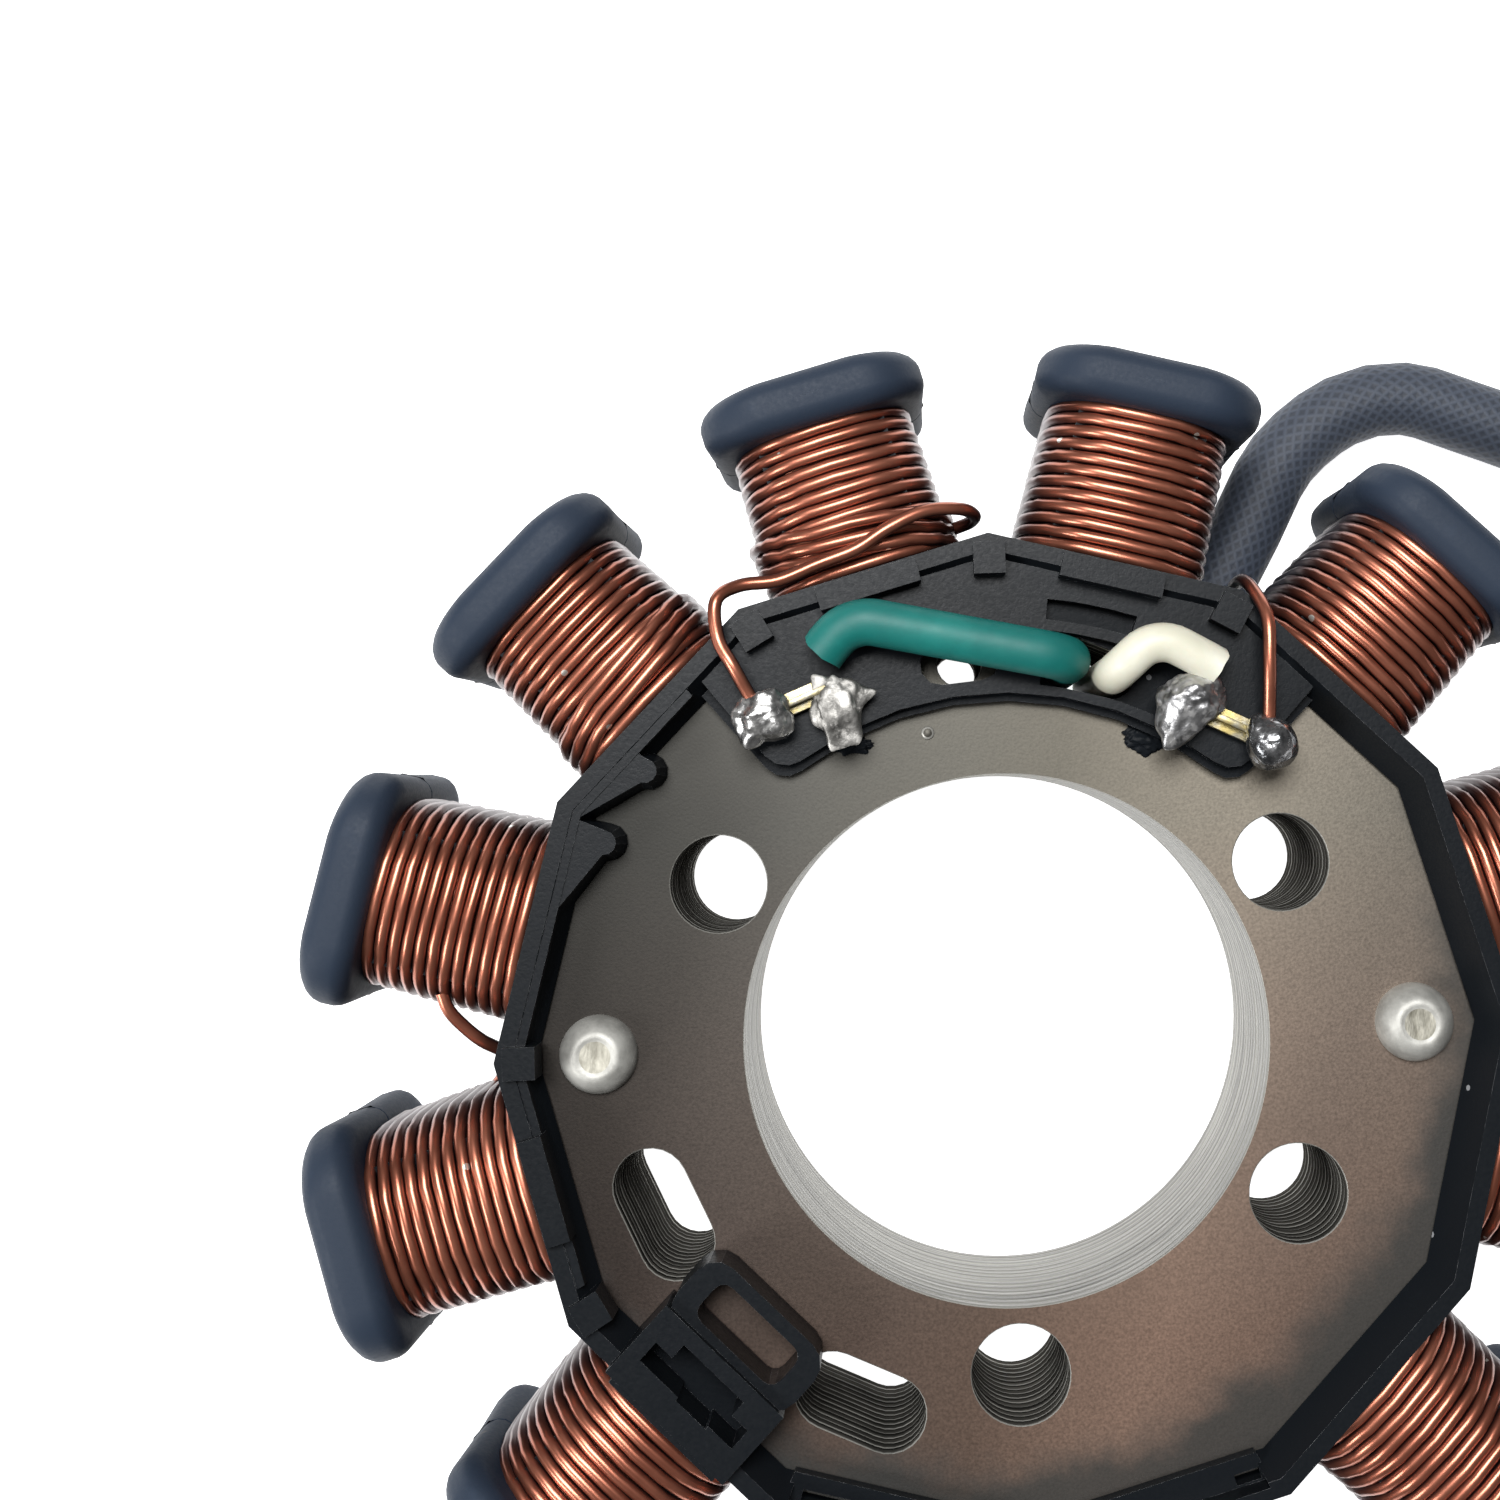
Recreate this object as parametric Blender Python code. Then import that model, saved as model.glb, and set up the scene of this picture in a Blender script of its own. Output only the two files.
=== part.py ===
"""Wound stator of a flywheel generator, modelled lying on its back.

A riveted stack of steel laminations carries twelve salient poles. Two moulded insulators
clip over the poles from the front and the rear, and each pole is wound with enamelled
copper wire. The winding ends are soldered to two brass terminals on the front insulator,
where a green and a white lead start. The leads drop through the stack and leave between
two poles in a woven sleeve.

The stator's axis is Z and its front looks up. The origin is on the axis, on the surface
that the stator lies on. All lengths are in metres.
"""

import math

import bmesh
import bpy
from mathutils import Matrix, Vector

MM = 0.001

# Fits
GAP = 0.3 * MM  # between pieces that touch
WALL = 0.6 * MM  # thinnest moulded wall of the insulators

# Lamination stack
POLES = 12
FIRST_POLE = 15.0  # angle of the first pole's axis, degrees
STACK_THICKNESS = 15.0 * MM
BORE_RADIUS = 17.5 * MM
HUB_APOTHEM = 31.4 * MM  # the hub is twelve sided, one flat for each pole
POLE_WIDTH = 7.2 * MM
SHOE_DEPTH = 2.8 * MM
SHOE_WIDTH = 13.8 * MM

# Holes in the hub
BOLT_HOLE_DIAMETER = 6.5 * MM
BOLT_WEB = 1.05 * MM  # steel between a bolt hole and the bore
BOLT_CIRCLE_RADIUS = BORE_RADIUS + BOLT_WEB + BOLT_HOLE_DIAMETER / 2
BOLT_HOLE_ANGLES = (30.0, 150.0, 270.0, 330.0)
SLOT_WIDTH = 4.95 * MM
SLOT_WEB = 3.5 * MM  # steel between a slot and the hub's flat
SLOT_CIRCLE_RADIUS = HUB_APOTHEM - SLOT_WEB - SLOT_WIDTH / 2
SLOT_LENGTH = 8.95 * MM
HOLDER_ANGLE = 225.0
SLOT_SPREAD = 20.4  # degrees from the holder's axis to each slot
RIVET_SHANK_DIAMETER = 3.6 * MM
RIVET_EDGE = 4.0 * MM  # from a rivet's axis to the foot of the insulator's ring
WINDOW_HOLE_DIAMETER = 3.0 * MM

# Insulators, measured out from the stack's faces
FLANGE_RISE = 4.0 * MM
FLANGE_DEPTH = 3.8 * MM
FLANGE_WIDTH = 15.6 * MM
FLANGE_CORNER = 3.8 * MM
FLANGE_EDGE = 0.8 * MM
RING_RISE = 3.0 * MM
RING_WALL = 0.7 * MM  # outside the hub's flats
RING_TOP_WIDTH = 1.1 * MM
RING_SLOPE = 1.2 * MM
RING_APOTHEM = HUB_APOTHEM + GAP + RING_WALL
RING_TOP_APOTHEM = RING_APOTHEM - RING_TOP_WIDTH
RING_FOOT_APOTHEM = RING_TOP_APOTHEM - RING_SLOPE
WINDING_SPACE = 10.6 * MM  # from the ring to the flanges
FLANGE_INNER = RING_APOTHEM + WINDING_SPACE
TIP_RADIUS = FLANGE_INNER + FLANGE_DEPTH
SHOE_INNER = TIP_RADIUS - SHOE_DEPTH
POLE_COVER = 0.55 * MM

# Terminal plate and what is moulded with it
PLATE_ANGLES = (45.3, 129.8)
PLATE_DEPTH = 7.7 * MM
PLATE_INNER_RADIUS = RING_FOOT_APOTHEM - PLATE_DEPTH
PLATE_CORNER = 1.8 * MM
PLATE_RISE = 2.2 * MM
PLATE_STEP = 0.5 * MM
PLATE_FOOT_RISE = 1.0 * MM
BAR_ANGLES = (75.0, 105.0, 195.0)
BAR_SIZE = (1.6 * MM, 6.9 * MM)
BAR_RADIUS = RING_APOTHEM - 1.0 * MM
BAR_RISE = 3.9 * MM
LUG_ANGLES = (60.0, 90.0, 120.0, 180.0, 210.0)
LUG_SIZE = (2.1 * MM, 2.1 * MM)
LUG_RADIUS = RING_APOTHEM - 0.6 * MM
LUG_RISE = 3.7 * MM
RECESS_RADII = (PLATE_INNER_RADIUS + PLATE_STEP + WALL, PLATE_INNER_RADIUS + 4.8 * MM)
RECESS_ANGLES = (60.5, 82.5)
WIRE_SLOT_RADII = (PLATE_INNER_RADIUS + 5.5 * MM, PLATE_INNER_RADIUS + 6.9 * MM)
WIRE_SLOT_ANGLES = (70.5, 82.5)
WINDOW_POLAR = (PLATE_INNER_RADIUS + 2.7 * MM, 95.0)
WINDOW_SIZE = (2.7 * MM, 5.4 * MM)
LEDGE_ANGLES = (130.5, 207.0)  # where the ring's flat top is wider
LEDGE_WIDTH = 0.6 * MM
GUSSET_RISE = RING_RISE - 0.2 * MM
GUSSET_END_RADII = (RING_FOOT_APOTHEM - 0.5 * MM, RING_FOOT_APOTHEM - 0.3 * MM)
GUSSET_ANGLES = ((151.8, 163.5), (141.4, 151.5))  # of each gusset's round end and root
GUSSET_END_RADIUS = 0.8 * MM
GUSSET_DRAFT = 0.45 * MM
FOOT_PLATE_ANGLES = (241.0, 299.0)
FOOT_PLATE_INNER_APOTHEM = RING_FOOT_APOTHEM - 0.25 * MM
FOOT_PLATE_RISE = 1.3 * MM
FOOT_SLOTS = ((255.0, -5.1 * MM, 3.2 * MM), (285.0, 6.5 * MM, 1.7 * MM))  # flat, place and width along it
FOOT_SLOT_DEPTH = 0.7 * MM

# Sensor lead holder, moulded on the front insulator
HOLDER_FRAME_LENGTH = 5.0 * MM
HOLDER_FRAME_OUTER = RING_FOOT_APOTHEM - 2.7 * MM
HOLDER_FRAME_RADII = (HOLDER_FRAME_OUTER - HOLDER_FRAME_LENGTH, HOLDER_FRAME_OUTER)
HOLDER_WIDTH = 10.2 * MM
HOLDER_WINDOW_RADII = (HOLDER_FRAME_RADII[0] + 0.9 * MM, HOLDER_FRAME_RADII[1] - 1.2 * MM)
HOLDER_WINDOW_WIDTH = 7.0 * MM
HOLDER_CORNER = 1.6 * MM
HOLDER_RISE = 3.9 * MM
HOLDER_BLOCK_OUTER = RING_APOTHEM + 0.4 * MM
HOLDER_BLOCK_RISE = 4.5 * MM
HOLDER_POCKET_RADII = (HOLDER_FRAME_OUTER + 0.4 * MM, HOLDER_FRAME_OUTER + 3.0 * MM)
HOLDER_POCKET_WIDTH = 8.0 * MM
HOLDER_NECK_WIDTH = 5.2 * MM  # between the two hooks
HOLDER_HOOK_DEPTH = 1.1 * MM
HOLDER_BAY = (0.25 * MM, 2.6 * MM)  # depth and width of the shallow bay in the pocket's outer wall

# Windings
TURNS = 11
COIL_LAYERS = 1.85 * MM  # depth of two layers of wire
COIL_ROOT_GROWTH = 0.55 * MM  # the windings bulge towards the hub
RIDGE_DEPTH = 0.3 * MM
COIL_CORNER_SHARE = 0.42  # how much of the width each chamfered corner takes
WIRE_DIAMETER = 0.9 * MM

# Rivets, in two corners of the insulators' ring
RIVET_CIRCLE_RADIUS = RING_FOOT_APOTHEM / math.cos(math.pi / POLES) - RIVET_EDGE
RIVET_HEAD_DIAMETER = 5.2 * MM
RIVET_HEAD_RISE = 1.9 * MM
RIVET_REAR_RISE = 1.1 * MM

# Terminals and their solder
TERMINAL_RADIUS = PLATE_INNER_RADIUS + 3.5 * MM
TERMINAL_ANGLES = {"left": (115.0, 125.5), "right": (60.0, 46.5)}  # lead joint, winding joint
TERMINAL_WIDTH = 2.0 * MM
TERMINAL_THICKNESS = 0.5 * MM
SOLDER_WIDTH = 3.4 * MM
SOLDER_RISE = 2.4 * MM

# Leads and harness
GREEN_LEAD_DIAMETER = 3.1 * MM
GREEN_LEAD_START = 103.0  # direction from its solder joint, degrees
GREEN_LEAD_BEND = (-9.3 * MM, 28.0 * MM)
GREEN_LEAD_BEND_RADIUS = 3.0 * MM
WHITE_LEAD_DIAMETER = 2.6 * MM
WHITE_LEAD_START = 45.0
WHITE_LEAD_BEND = (10.7 * MM, 26.2 * MM)
WHITE_LEAD_BEND_RADIUS = 1.9 * MM
LEAD_HUMP = 0.5 * MM  # how far the leads' first bends stand clear of the plate
LEAD_BEND = 0.6 * MM  # inside radius of the leads' tight bends
WHITE_DIVE_ANGLE = 71.5
GREEN_REAR_BEND = (0.7 * MM, RING_FOOT_APOTHEM - 1.0 * MM)  # across and along the pole beside it
WHITE_REAR_TURN = 8.4 * MM  # before the mouth of the sleeve
SLEEVE_DIAMETER = 5.6 * MM
EXIT_ANGLE = 60.0  # the sleeve leaves between the poles at 45 and 75 degrees
EXIT_NOTCH_WIDTH = 7.0 * MM
EXIT_REACH = 1.4 * MM  # from the rear insulator's corner to the mouth of the sleeve
FLOOR_CLEARANCE = 0.1 * MM
STORED_COIL_CENTRE = Vector((82.0 * MM, 10.0 * MM))
STORED_COIL_RADIUS = 30.0 * MM
CONNECTOR_SIZE = (22.0 * MM, 11.0 * MM, 7.0 * MM)
CONNECTOR_START = Vector((103.0 * MM, 65.0 * MM))
CONNECTOR_HEADING = 30.0  # degrees

# Heights
STACK_REAR = FLANGE_RISE
MIDDLE = STACK_REAR + STACK_THICKNESS / 2
STACK_FRONT = STACK_REAR + STACK_THICKNESS
PLATE_TOP = STACK_FRONT + PLATE_RISE


def clear_scene():
    for old in list(bpy.data.objects):
        bpy.data.objects.remove(old)


def material(name, colour, roughness, metallic=0.0):
    made = bpy.data.materials.get(name)
    if made:
        return made
    made = bpy.data.materials.new(name)
    made.use_nodes = True
    shader = made.node_tree.nodes["Principled BSDF"]
    shader.inputs["Base Color"].default_value = (*colour, 1.0)
    shader.inputs["Roughness"].default_value = roughness
    shader.inputs["Metallic"].default_value = metallic
    return made


def steel():
    return material("lamination_steel", (0.30, 0.27, 0.24), 0.45, 0.9)


def moulding():
    return material("black_moulding", (0.03, 0.033, 0.04), 0.5)


def copper():
    return material("enamelled_copper", (0.36, 0.10, 0.04), 0.25, 0.8)


def solder_metal():
    return material("solder", (0.62, 0.60, 0.57), 0.3, 0.9)


def brass():
    return material("brass", (0.72, 0.55, 0.22), 0.35, 1.0)


def polar(radius, angle):
    return Vector((radius * math.cos(math.radians(angle)), radius * math.sin(math.radians(angle))))


def add_object(name, bm, surface, is_cutter=False):
    """Closes a bmesh into an object with its faces pointing out."""
    bmesh.ops.remove_doubles(bm, verts=bm.verts, dist=0.000001)
    bmesh.ops.recalc_face_normals(bm, faces=bm.faces)
    mesh = bpy.data.meshes.new(name)
    bm.to_mesh(mesh)
    bm.free()
    made = bpy.data.objects.new(name, mesh)
    bpy.context.scene.collection.objects.link(made)
    if is_cutter:
        made.hide_render = True
        made.display_type = "WIRE"
    else:
        mesh.materials.append(surface)
    return made


def add_prism(bm, outline, low, high):
    """An outline of (x, y) points, counter-clockwise, as a closed prism."""
    bottom = [bm.verts.new((p[0], p[1], low)) for p in outline]
    top = [bm.verts.new((p[0], p[1], high)) for p in outline]
    bm.faces.new(list(reversed(bottom)))
    bm.faces.new(top)
    for i, here in enumerate(bottom):
        following = (i + 1) % len(bottom)
        bm.faces.new((here, bottom[following], top[following], top[i]))


def add_turned(bm, profile, sides, centre=(0.0, 0.0)):
    """A closed (radius, height) profile turned about Z, where radius 0 is a point on the axis."""
    rings = []
    for radius, height in profile:
        count = sides if radius > 0 else 1
        ring = []
        for k in range(count):
            at = polar(radius, 360.0 * k / sides)
            ring.append(bm.verts.new((centre[0] + at.x, centre[1] + at.y, height)))
        rings.append(ring)
    closes_on_itself = profile[0][0] > 0
    for i in range(len(rings) if closes_on_itself else len(rings) - 1):
        add_band(bm, rings[i], rings[(i + 1) % len(rings)])


def add_band(bm, low, high):
    """Faces between two rings of vertices, either of which may be a single point."""
    count = max(len(low), len(high))
    for k in range(count):
        corners = []
        for ring, index in ((low, k), (low, k + 1), (high, k + 1), (high, k)):
            corner = ring[index % len(ring)]
            if corner not in corners:
                corners.append(corner)
        bm.faces.new(corners)


def add_box(bm, centre, size, low, high, heading=0.0):
    """An upright box with its first size along the heading, from height low to high."""
    along = polar(size[0] / 2, heading)
    across = polar(size[1] / 2, heading + 90.0)
    middle = Vector(centre[:2])
    corners = (middle - along - across, middle + along - across, middle + along + across, middle - along + across)
    add_prism(bm, corners, low, high)


def arc(centre, radius, start, end, steps):
    """Points on a circle from one angle to another, both included."""
    return [Vector(centre[:2]) + polar(radius, start + (end - start) * k / steps) for k in range(steps + 1)]


def slot_outline(centre, length, width, heading, steps=5):
    """A straight slot with round ends."""
    reach = polar((length - width) / 2, heading)
    middle = Vector(centre[:2])
    far_end = arc(middle + reach, width / 2, heading - 90.0, heading + 90.0, steps)
    near_end = arc(middle - reach, width / 2, heading + 90.0, heading + 270.0, steps)
    return far_end + near_end


def rounded_rectangle(centre, size, corner, heading, steps=3):
    points = []
    for k, (along, across) in enumerate(((1, 1), (-1, 1), (-1, -1), (1, -1))):
        middle = Vector((along * (size[0] / 2 - corner), across * (size[1] / 2 - corner)))
        points += arc(middle, corner, 90.0 * k, 90.0 * (k + 1), steps)
    turn = Matrix.Rotation(math.radians(heading), 2)
    return [Vector(centre[:2]) + turn @ p for p in points]


def sector_outline(inner, outer, start, end, corner=0.0, steps=8):
    """Part of a ring, with its two corners on the inner radius rounded if corner is given."""
    outer_arc = arc((0.0, 0.0), outer, start, end, steps)
    if not corner:
        return outer_arc + arc((0.0, 0.0), inner, end, start, steps)
    lean = math.degrees(math.asin(corner / (inner + corner)))
    last = arc(polar(inner + corner, end - lean), corner, end + 90.0, end - lean + 180.0, 3)
    first = arc(polar(inner + corner, start + lean), corner, start + lean + 180.0, start + 270.0, 3)
    inner_arc = arc((0.0, 0.0), inner, end - lean, start + lean, steps)
    return outer_arc + last + inner_arc[1:-1] + first


def ring_point(apothem, angle):
    """A point on a twelve-sided outline that is parallel to the hub's flats."""
    step = 360.0 / POLES
    aside = (angle - FIRST_POLE + step / 2) % step - step / 2
    return polar(apothem / math.cos(math.radians(aside)), angle)


def ring_sector(inner, outer, start, end):
    """Part of a twelve-sided ring, with a point at each corner between two angles."""
    step = 360.0 / POLES
    corners = [FIRST_POLE + step * (k + 0.5) for k in range(POLES)]
    angles = [start] + [a for a in corners if start < a < end] + [end]
    return [ring_point(outer, a) for a in angles] + [ring_point(inner, a) for a in reversed(angles)]


def add_tapered(bm, base, top, low, high):
    """A closed block between two outlines that have the same number of points."""
    bottom = [bm.verts.new((p[0], p[1], low)) for p in base]
    upper = [bm.verts.new((p[0], p[1], high)) for p in top]
    bm.faces.new(list(reversed(bottom)))
    bm.faces.new(upper)
    add_band(bm, bottom, upper)


def combine(target, other, operation):
    """A Boolean with another object, which is kept as a hidden guide."""
    other.hide_render = True
    other.display_type = "WIRE"
    step = target.modifiers.new(operation.lower(), "BOOLEAN")
    step.operation = operation
    step.solver = "EXACT"
    step.object = other


def pole_axes():
    return [FIRST_POLE + 360.0 * k / POLES for k in range(POLES)]


def pole_point(axis, radial, tangential):
    """A point given along and across a pole's axis."""
    return polar(radial, axis) + polar(tangential, axis + 90.0)


def stack_outline(clearance=0.0):
    """The laminations' outline, or one that keeps a clearance all round them."""
    half_pole = POLE_WIDTH / 2 + clearance
    half_shoe = SHOE_WIDTH / 2 + clearance
    tip = TIP_RADIUS + clearance
    hub = HUB_APOTHEM + clearance
    shoe_back = SHOE_INNER - clearance
    half_turn = 180.0 / POLES
    reach = math.degrees(math.asin(half_shoe / tip))
    points = []
    for axis in pole_axes():
        points.append(polar(hub / math.cos(math.radians(half_turn)), axis - half_turn))
        points.append(pole_point(axis, hub, -half_pole))
        points.append(pole_point(axis, shoe_back, -half_pole))
        points.append(pole_point(axis, shoe_back, -half_shoe))
        points += arc((0.0, 0.0), tip, axis - reach, axis + reach, 3)
        points.append(pole_point(axis, shoe_back, half_shoe))
        points.append(pole_point(axis, shoe_back, half_pole))
        points.append(pole_point(axis, hub, half_pole))
    return points


def slot_angles():
    return (HOLDER_ANGLE - SLOT_SPREAD, HOLDER_ANGLE + SLOT_SPREAD)


def lead_dives():
    """Where the green and the white lead go down through the stack, side by side."""
    clear = RECESS_RADII[0] + GAP
    apart = (GREEN_LEAD_DIAMETER + WHITE_LEAD_DIAMETER) / 2 + 1.1 * GAP
    green_radius = clear + GREEN_LEAD_DIAMETER / 2
    green_angle = WHITE_DIVE_ANGLE + math.degrees(apart / green_radius)
    return polar(green_radius, green_angle), polar(clear + WHITE_LEAD_DIAMETER / 2, WHITE_DIVE_ANGLE)


def lead_hole_outline():
    """A hole round both leads, wider at the green one."""
    green, white = lead_dives()
    green_radius = GREEN_LEAD_DIAMETER / 2 + GAP
    white_radius = WHITE_LEAD_DIAMETER / 2 + GAP
    run = white - green
    heading = math.degrees(math.atan2(run.y, run.x))
    side = math.degrees(math.acos((green_radius - white_radius) / run.length))
    white_end = arc(white, white_radius, heading - side, heading + side, 6)
    green_end = arc(green, green_radius, heading + side, heading + 360.0 - side, 6)
    return white_end + green_end


def hub_holes():
    """All openings of the hub, as one cutter."""
    bm = bmesh.new()
    low = STACK_REAR - MM
    high = STACK_FRONT + MM
    add_prism(bm, arc((0.0, 0.0), BORE_RADIUS, 0.0, 360.0 - 360.0 / 48, 47), low, high)
    for angle in BOLT_HOLE_ANGLES:
        centre = polar(BOLT_CIRCLE_RADIUS, angle)
        add_prism(bm, arc(centre, BOLT_HOLE_DIAMETER / 2, 0.0, 360.0 - 360.0 / 16, 15), low, high)
    for angle in slot_angles():
        centre = polar(SLOT_CIRCLE_RADIUS, angle)
        add_prism(bm, slot_outline(centre, SLOT_LENGTH, SLOT_WIDTH, angle + 90.0), low, high)
    for angle in (0.0, 180.0):
        centre = polar(RIVET_CIRCLE_RADIUS, angle)
        hole_radius = RIVET_SHANK_DIAMETER / 2 + GAP
        add_prism(bm, arc(centre, hole_radius, 0.0, 330.0, 11), low, high)
    window = polar(*WINDOW_POLAR)
    add_prism(bm, arc(window, WINDOW_HOLE_DIAMETER / 2, 0.0, 330.0, 11), low, high)
    add_prism(bm, lead_hole_outline(), low, high)
    return add_object("cut_hub_holes", bm, None, is_cutter=True)


def build_core():
    bm = bmesh.new()
    add_prism(bm, stack_outline(), STACK_REAR, STACK_FRONT)
    core = add_object("core_stack", bm, steel())
    combine(core, hub_holes(), "DIFFERENCE")


def flange_half_outline(inset):
    """Half of a flange seen along its pole, from the parting plane up, as (across, height)."""
    half = FLANGE_WIDTH / 2 - inset
    top = STACK_THICKNESS / 2 + FLANGE_RISE - inset
    corner = FLANGE_CORNER - inset
    right = arc((half - corner, top - corner), corner, 0.0, 90.0, 2)
    left = [Vector((-p.x, p.y)) for p in reversed(right)]
    parting = GAP / 2
    return [Vector((half, parting))] + right + left + [Vector((-half, parting))]


def flange_stations():
    """Inset of the outline, share of the way to the curved outer face, and distance from it."""
    return ((FLANGE_EDGE, 0.0, 0.0), (0.0, 0.0, FLANGE_EDGE), (0.0, 1.0, -FLANGE_EDGE), (FLANGE_EDGE, 1.0, 0.0))


def add_flange(bm, axis, side):
    rings = []
    for inset, share, offset in flange_stations():
        ring = []
        for across, height in flange_half_outline(inset):
            outer_face = math.sqrt(TIP_RADIUS ** 2 - across ** 2)
            radial = FLANGE_INNER * (1 - share) + outer_face * share + offset
            at = pole_point(axis, radial, across)
            ring.append(bm.verts.new((at.x, at.y, MIDDLE + side * height)))
        rings.append(ring)
    for low, high in zip(rings, rings[1:]):
        add_band(bm, low, high)
    bm.faces.new(rings[0])
    bm.faces.new(rings[-1])


def ring_profile(side):
    """The ring's section from its foot on the stack out to its wall and down to the parting plane."""
    face = STACK_THICKNESS / 2 + GAP
    top = STACK_THICKNESS / 2 + RING_RISE
    section = (
        (RING_FOOT_APOTHEM, face),
        (RING_TOP_APOTHEM, top),
        (RING_APOTHEM, top),
        (RING_APOTHEM, GAP / 2),
        (RING_FOOT_APOTHEM, GAP / 2),
    )
    to_corner = 1 / math.cos(math.radians(180.0 / POLES))
    return [(apothem * to_corner, MIDDLE + side * height) for apothem, height in section]


def pole_cover_half_width():
    return POLE_WIDTH / 2 + GAP + POLE_COVER


def pole_cover_rise():
    return GAP + POLE_COVER


def stack_clearance(side):
    """A cutter that leaves room for the laminations, open towards the parting plane."""
    bm = bmesh.new()
    face = MIDDLE + side * (STACK_THICKNESS / 2 + GAP)
    beyond = MIDDLE - side * MM
    add_prism(bm, stack_outline(GAP), min(face, beyond), max(face, beyond))
    return add_object(f"cut_stack_{'front' if side > 0 else 'rear'}", bm, None, is_cutter=True)


def build_insulator(name, side):
    """The ring, the pole covers and the flanges that both insulators have."""
    ring = bmesh.new()
    add_turned(ring, ring_profile(side), POLES)
    insulator = add_object(name, ring, moulding())
    covers = bmesh.new()
    flanges = bmesh.new()
    for axis in pole_axes():
        low = MIDDLE + side * GAP / 2
        high = MIDDLE + side * (STACK_THICKNESS / 2 + pole_cover_rise())
        inner = HUB_APOTHEM
        outer = FLANGE_INNER + WALL / 2
        centre = polar((inner + outer) / 2, axis)
        size = (outer - inner, 2 * pole_cover_half_width())
        add_box(covers, centre, size, min(low, high), max(low, high), axis)
        add_flange(flanges, axis, side)
    combine(insulator, add_object(f"add_{name}_flanges", flanges, None, is_cutter=True), "UNION")
    combine(insulator, add_object(f"add_{name}_covers", covers, None, is_cutter=True), "UNION")
    return insulator


def plate_outer_radius():
    """The plate reaches halfway across the top of the ring."""
    return (RING_TOP_APOTHEM + RING_APOTHEM) / 2


def add_plate_foot(bm):
    start, end = PLATE_ANGLES
    foot = sector_outline(PLATE_INNER_RADIUS, plate_outer_radius(), start, end, PLATE_CORNER)
    add_prism(bm, foot, STACK_FRONT + GAP, STACK_FRONT + PLATE_FOOT_RISE)


def add_plate_body(bm):
    """The thick part of the plate, which stands back from the edge of its foot."""
    start, end = PLATE_ANGLES
    inner = PLATE_INNER_RADIUS + PLATE_STEP
    lean = math.degrees(PLATE_STEP / inner)
    body = sector_outline(inner, plate_outer_radius(), start + lean, end - lean, PLATE_CORNER)
    add_prism(bm, body, STACK_FRONT + 2 * GAP, PLATE_TOP)


def add_bars(bm):
    for angle in BAR_ANGLES:
        add_box(bm, polar(BAR_RADIUS, angle), BAR_SIZE, STACK_FRONT + MM, STACK_FRONT + BAR_RISE, angle)


def add_lugs(bm):
    for angle in LUG_ANGLES:
        add_box(bm, polar(LUG_RADIUS, angle), LUG_SIZE, STACK_FRONT + MM, STACK_FRONT + LUG_RISE, angle)


def gusset_outline(end_radius, end_angle, root_angle, draft):
    """A leaf from a round end on the hub's face to a point on the ring."""
    end = polar(end_radius, end_angle)
    root = ring_point(RING_TOP_APOTHEM - draft, root_angle)
    behind = ring_point(RING_TOP_APOTHEM, end_angle - 1.0)
    tip = arc(end, GUSSET_END_RADIUS + draft, end_angle - 70.0, end_angle - 250.0, 6)
    return [root, behind] + tip


def add_gussets(bm):
    for end_radius, (end_angle, root_angle) in zip(GUSSET_END_RADII, GUSSET_ANGLES):
        base = gusset_outline(end_radius, end_angle, root_angle, GUSSET_DRAFT)
        top = gusset_outline(end_radius, end_angle, root_angle, 0.0)
        add_tapered(bm, base, top, STACK_FRONT + GAP, STACK_FRONT + GUSSET_RISE)


def add_ledge(bm):
    """The ring's wider flat top beside the gussets and the left bar."""
    outline = ring_sector(RING_TOP_APOTHEM - LEDGE_WIDTH, RING_APOTHEM - GAP, *LEDGE_ANGLES)
    add_prism(bm, outline, STACK_FRONT + GAP, STACK_FRONT + RING_RISE - 0.1 * MM)


def add_foot_plate(bm):
    outline = ring_sector(FOOT_PLATE_INNER_APOTHEM, RING_APOTHEM - GAP, *FOOT_PLATE_ANGLES)
    add_prism(bm, outline, STACK_FRONT + GAP, STACK_FRONT + FOOT_PLATE_RISE)


def foot_plate_cut():
    """Takes the ring's slope off where the foot plate lies."""
    bm = bmesh.new()
    start, end = FOOT_PLATE_ANGLES
    high = STACK_FRONT + 2 * RING_RISE
    flat = ring_sector(FOOT_PLATE_INNER_APOTHEM - MM, RING_APOTHEM - WALL - GAP / 2, start + 0.5, end - 0.5)
    add_prism(bm, flat, STACK_FRONT + 1.5 * GAP, high)
    return add_object("cut_foot_plate", bm, None, is_cutter=True)


def foot_slot_cut():
    bm = bmesh.new()
    for flat, place, width in FOOT_SLOTS:
        radial = FOOT_PLATE_INNER_APOTHEM + WALL + FOOT_SLOT_DEPTH
        size = (FOOT_SLOT_DEPTH, width)
        add_box(bm, pole_point(flat, radial, place), size, STACK_FRONT, STACK_FRONT + 2 * MM, flat)
    return add_object("cut_foot_slots", bm, None, is_cutter=True)


def holder_frame_outline(radii, width, corner):
    centre = polar(sum(radii) / 2, HOLDER_ANGLE)
    return rounded_rectangle(centre, (radii[1] - radii[0], width), corner, HOLDER_ANGLE)


def add_holder_frame(bm):
    outline = holder_frame_outline(HOLDER_FRAME_RADII, HOLDER_WIDTH, HOLDER_CORNER)
    add_prism(bm, outline, STACK_FRONT + GAP, STACK_FRONT + HOLDER_RISE)


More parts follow.
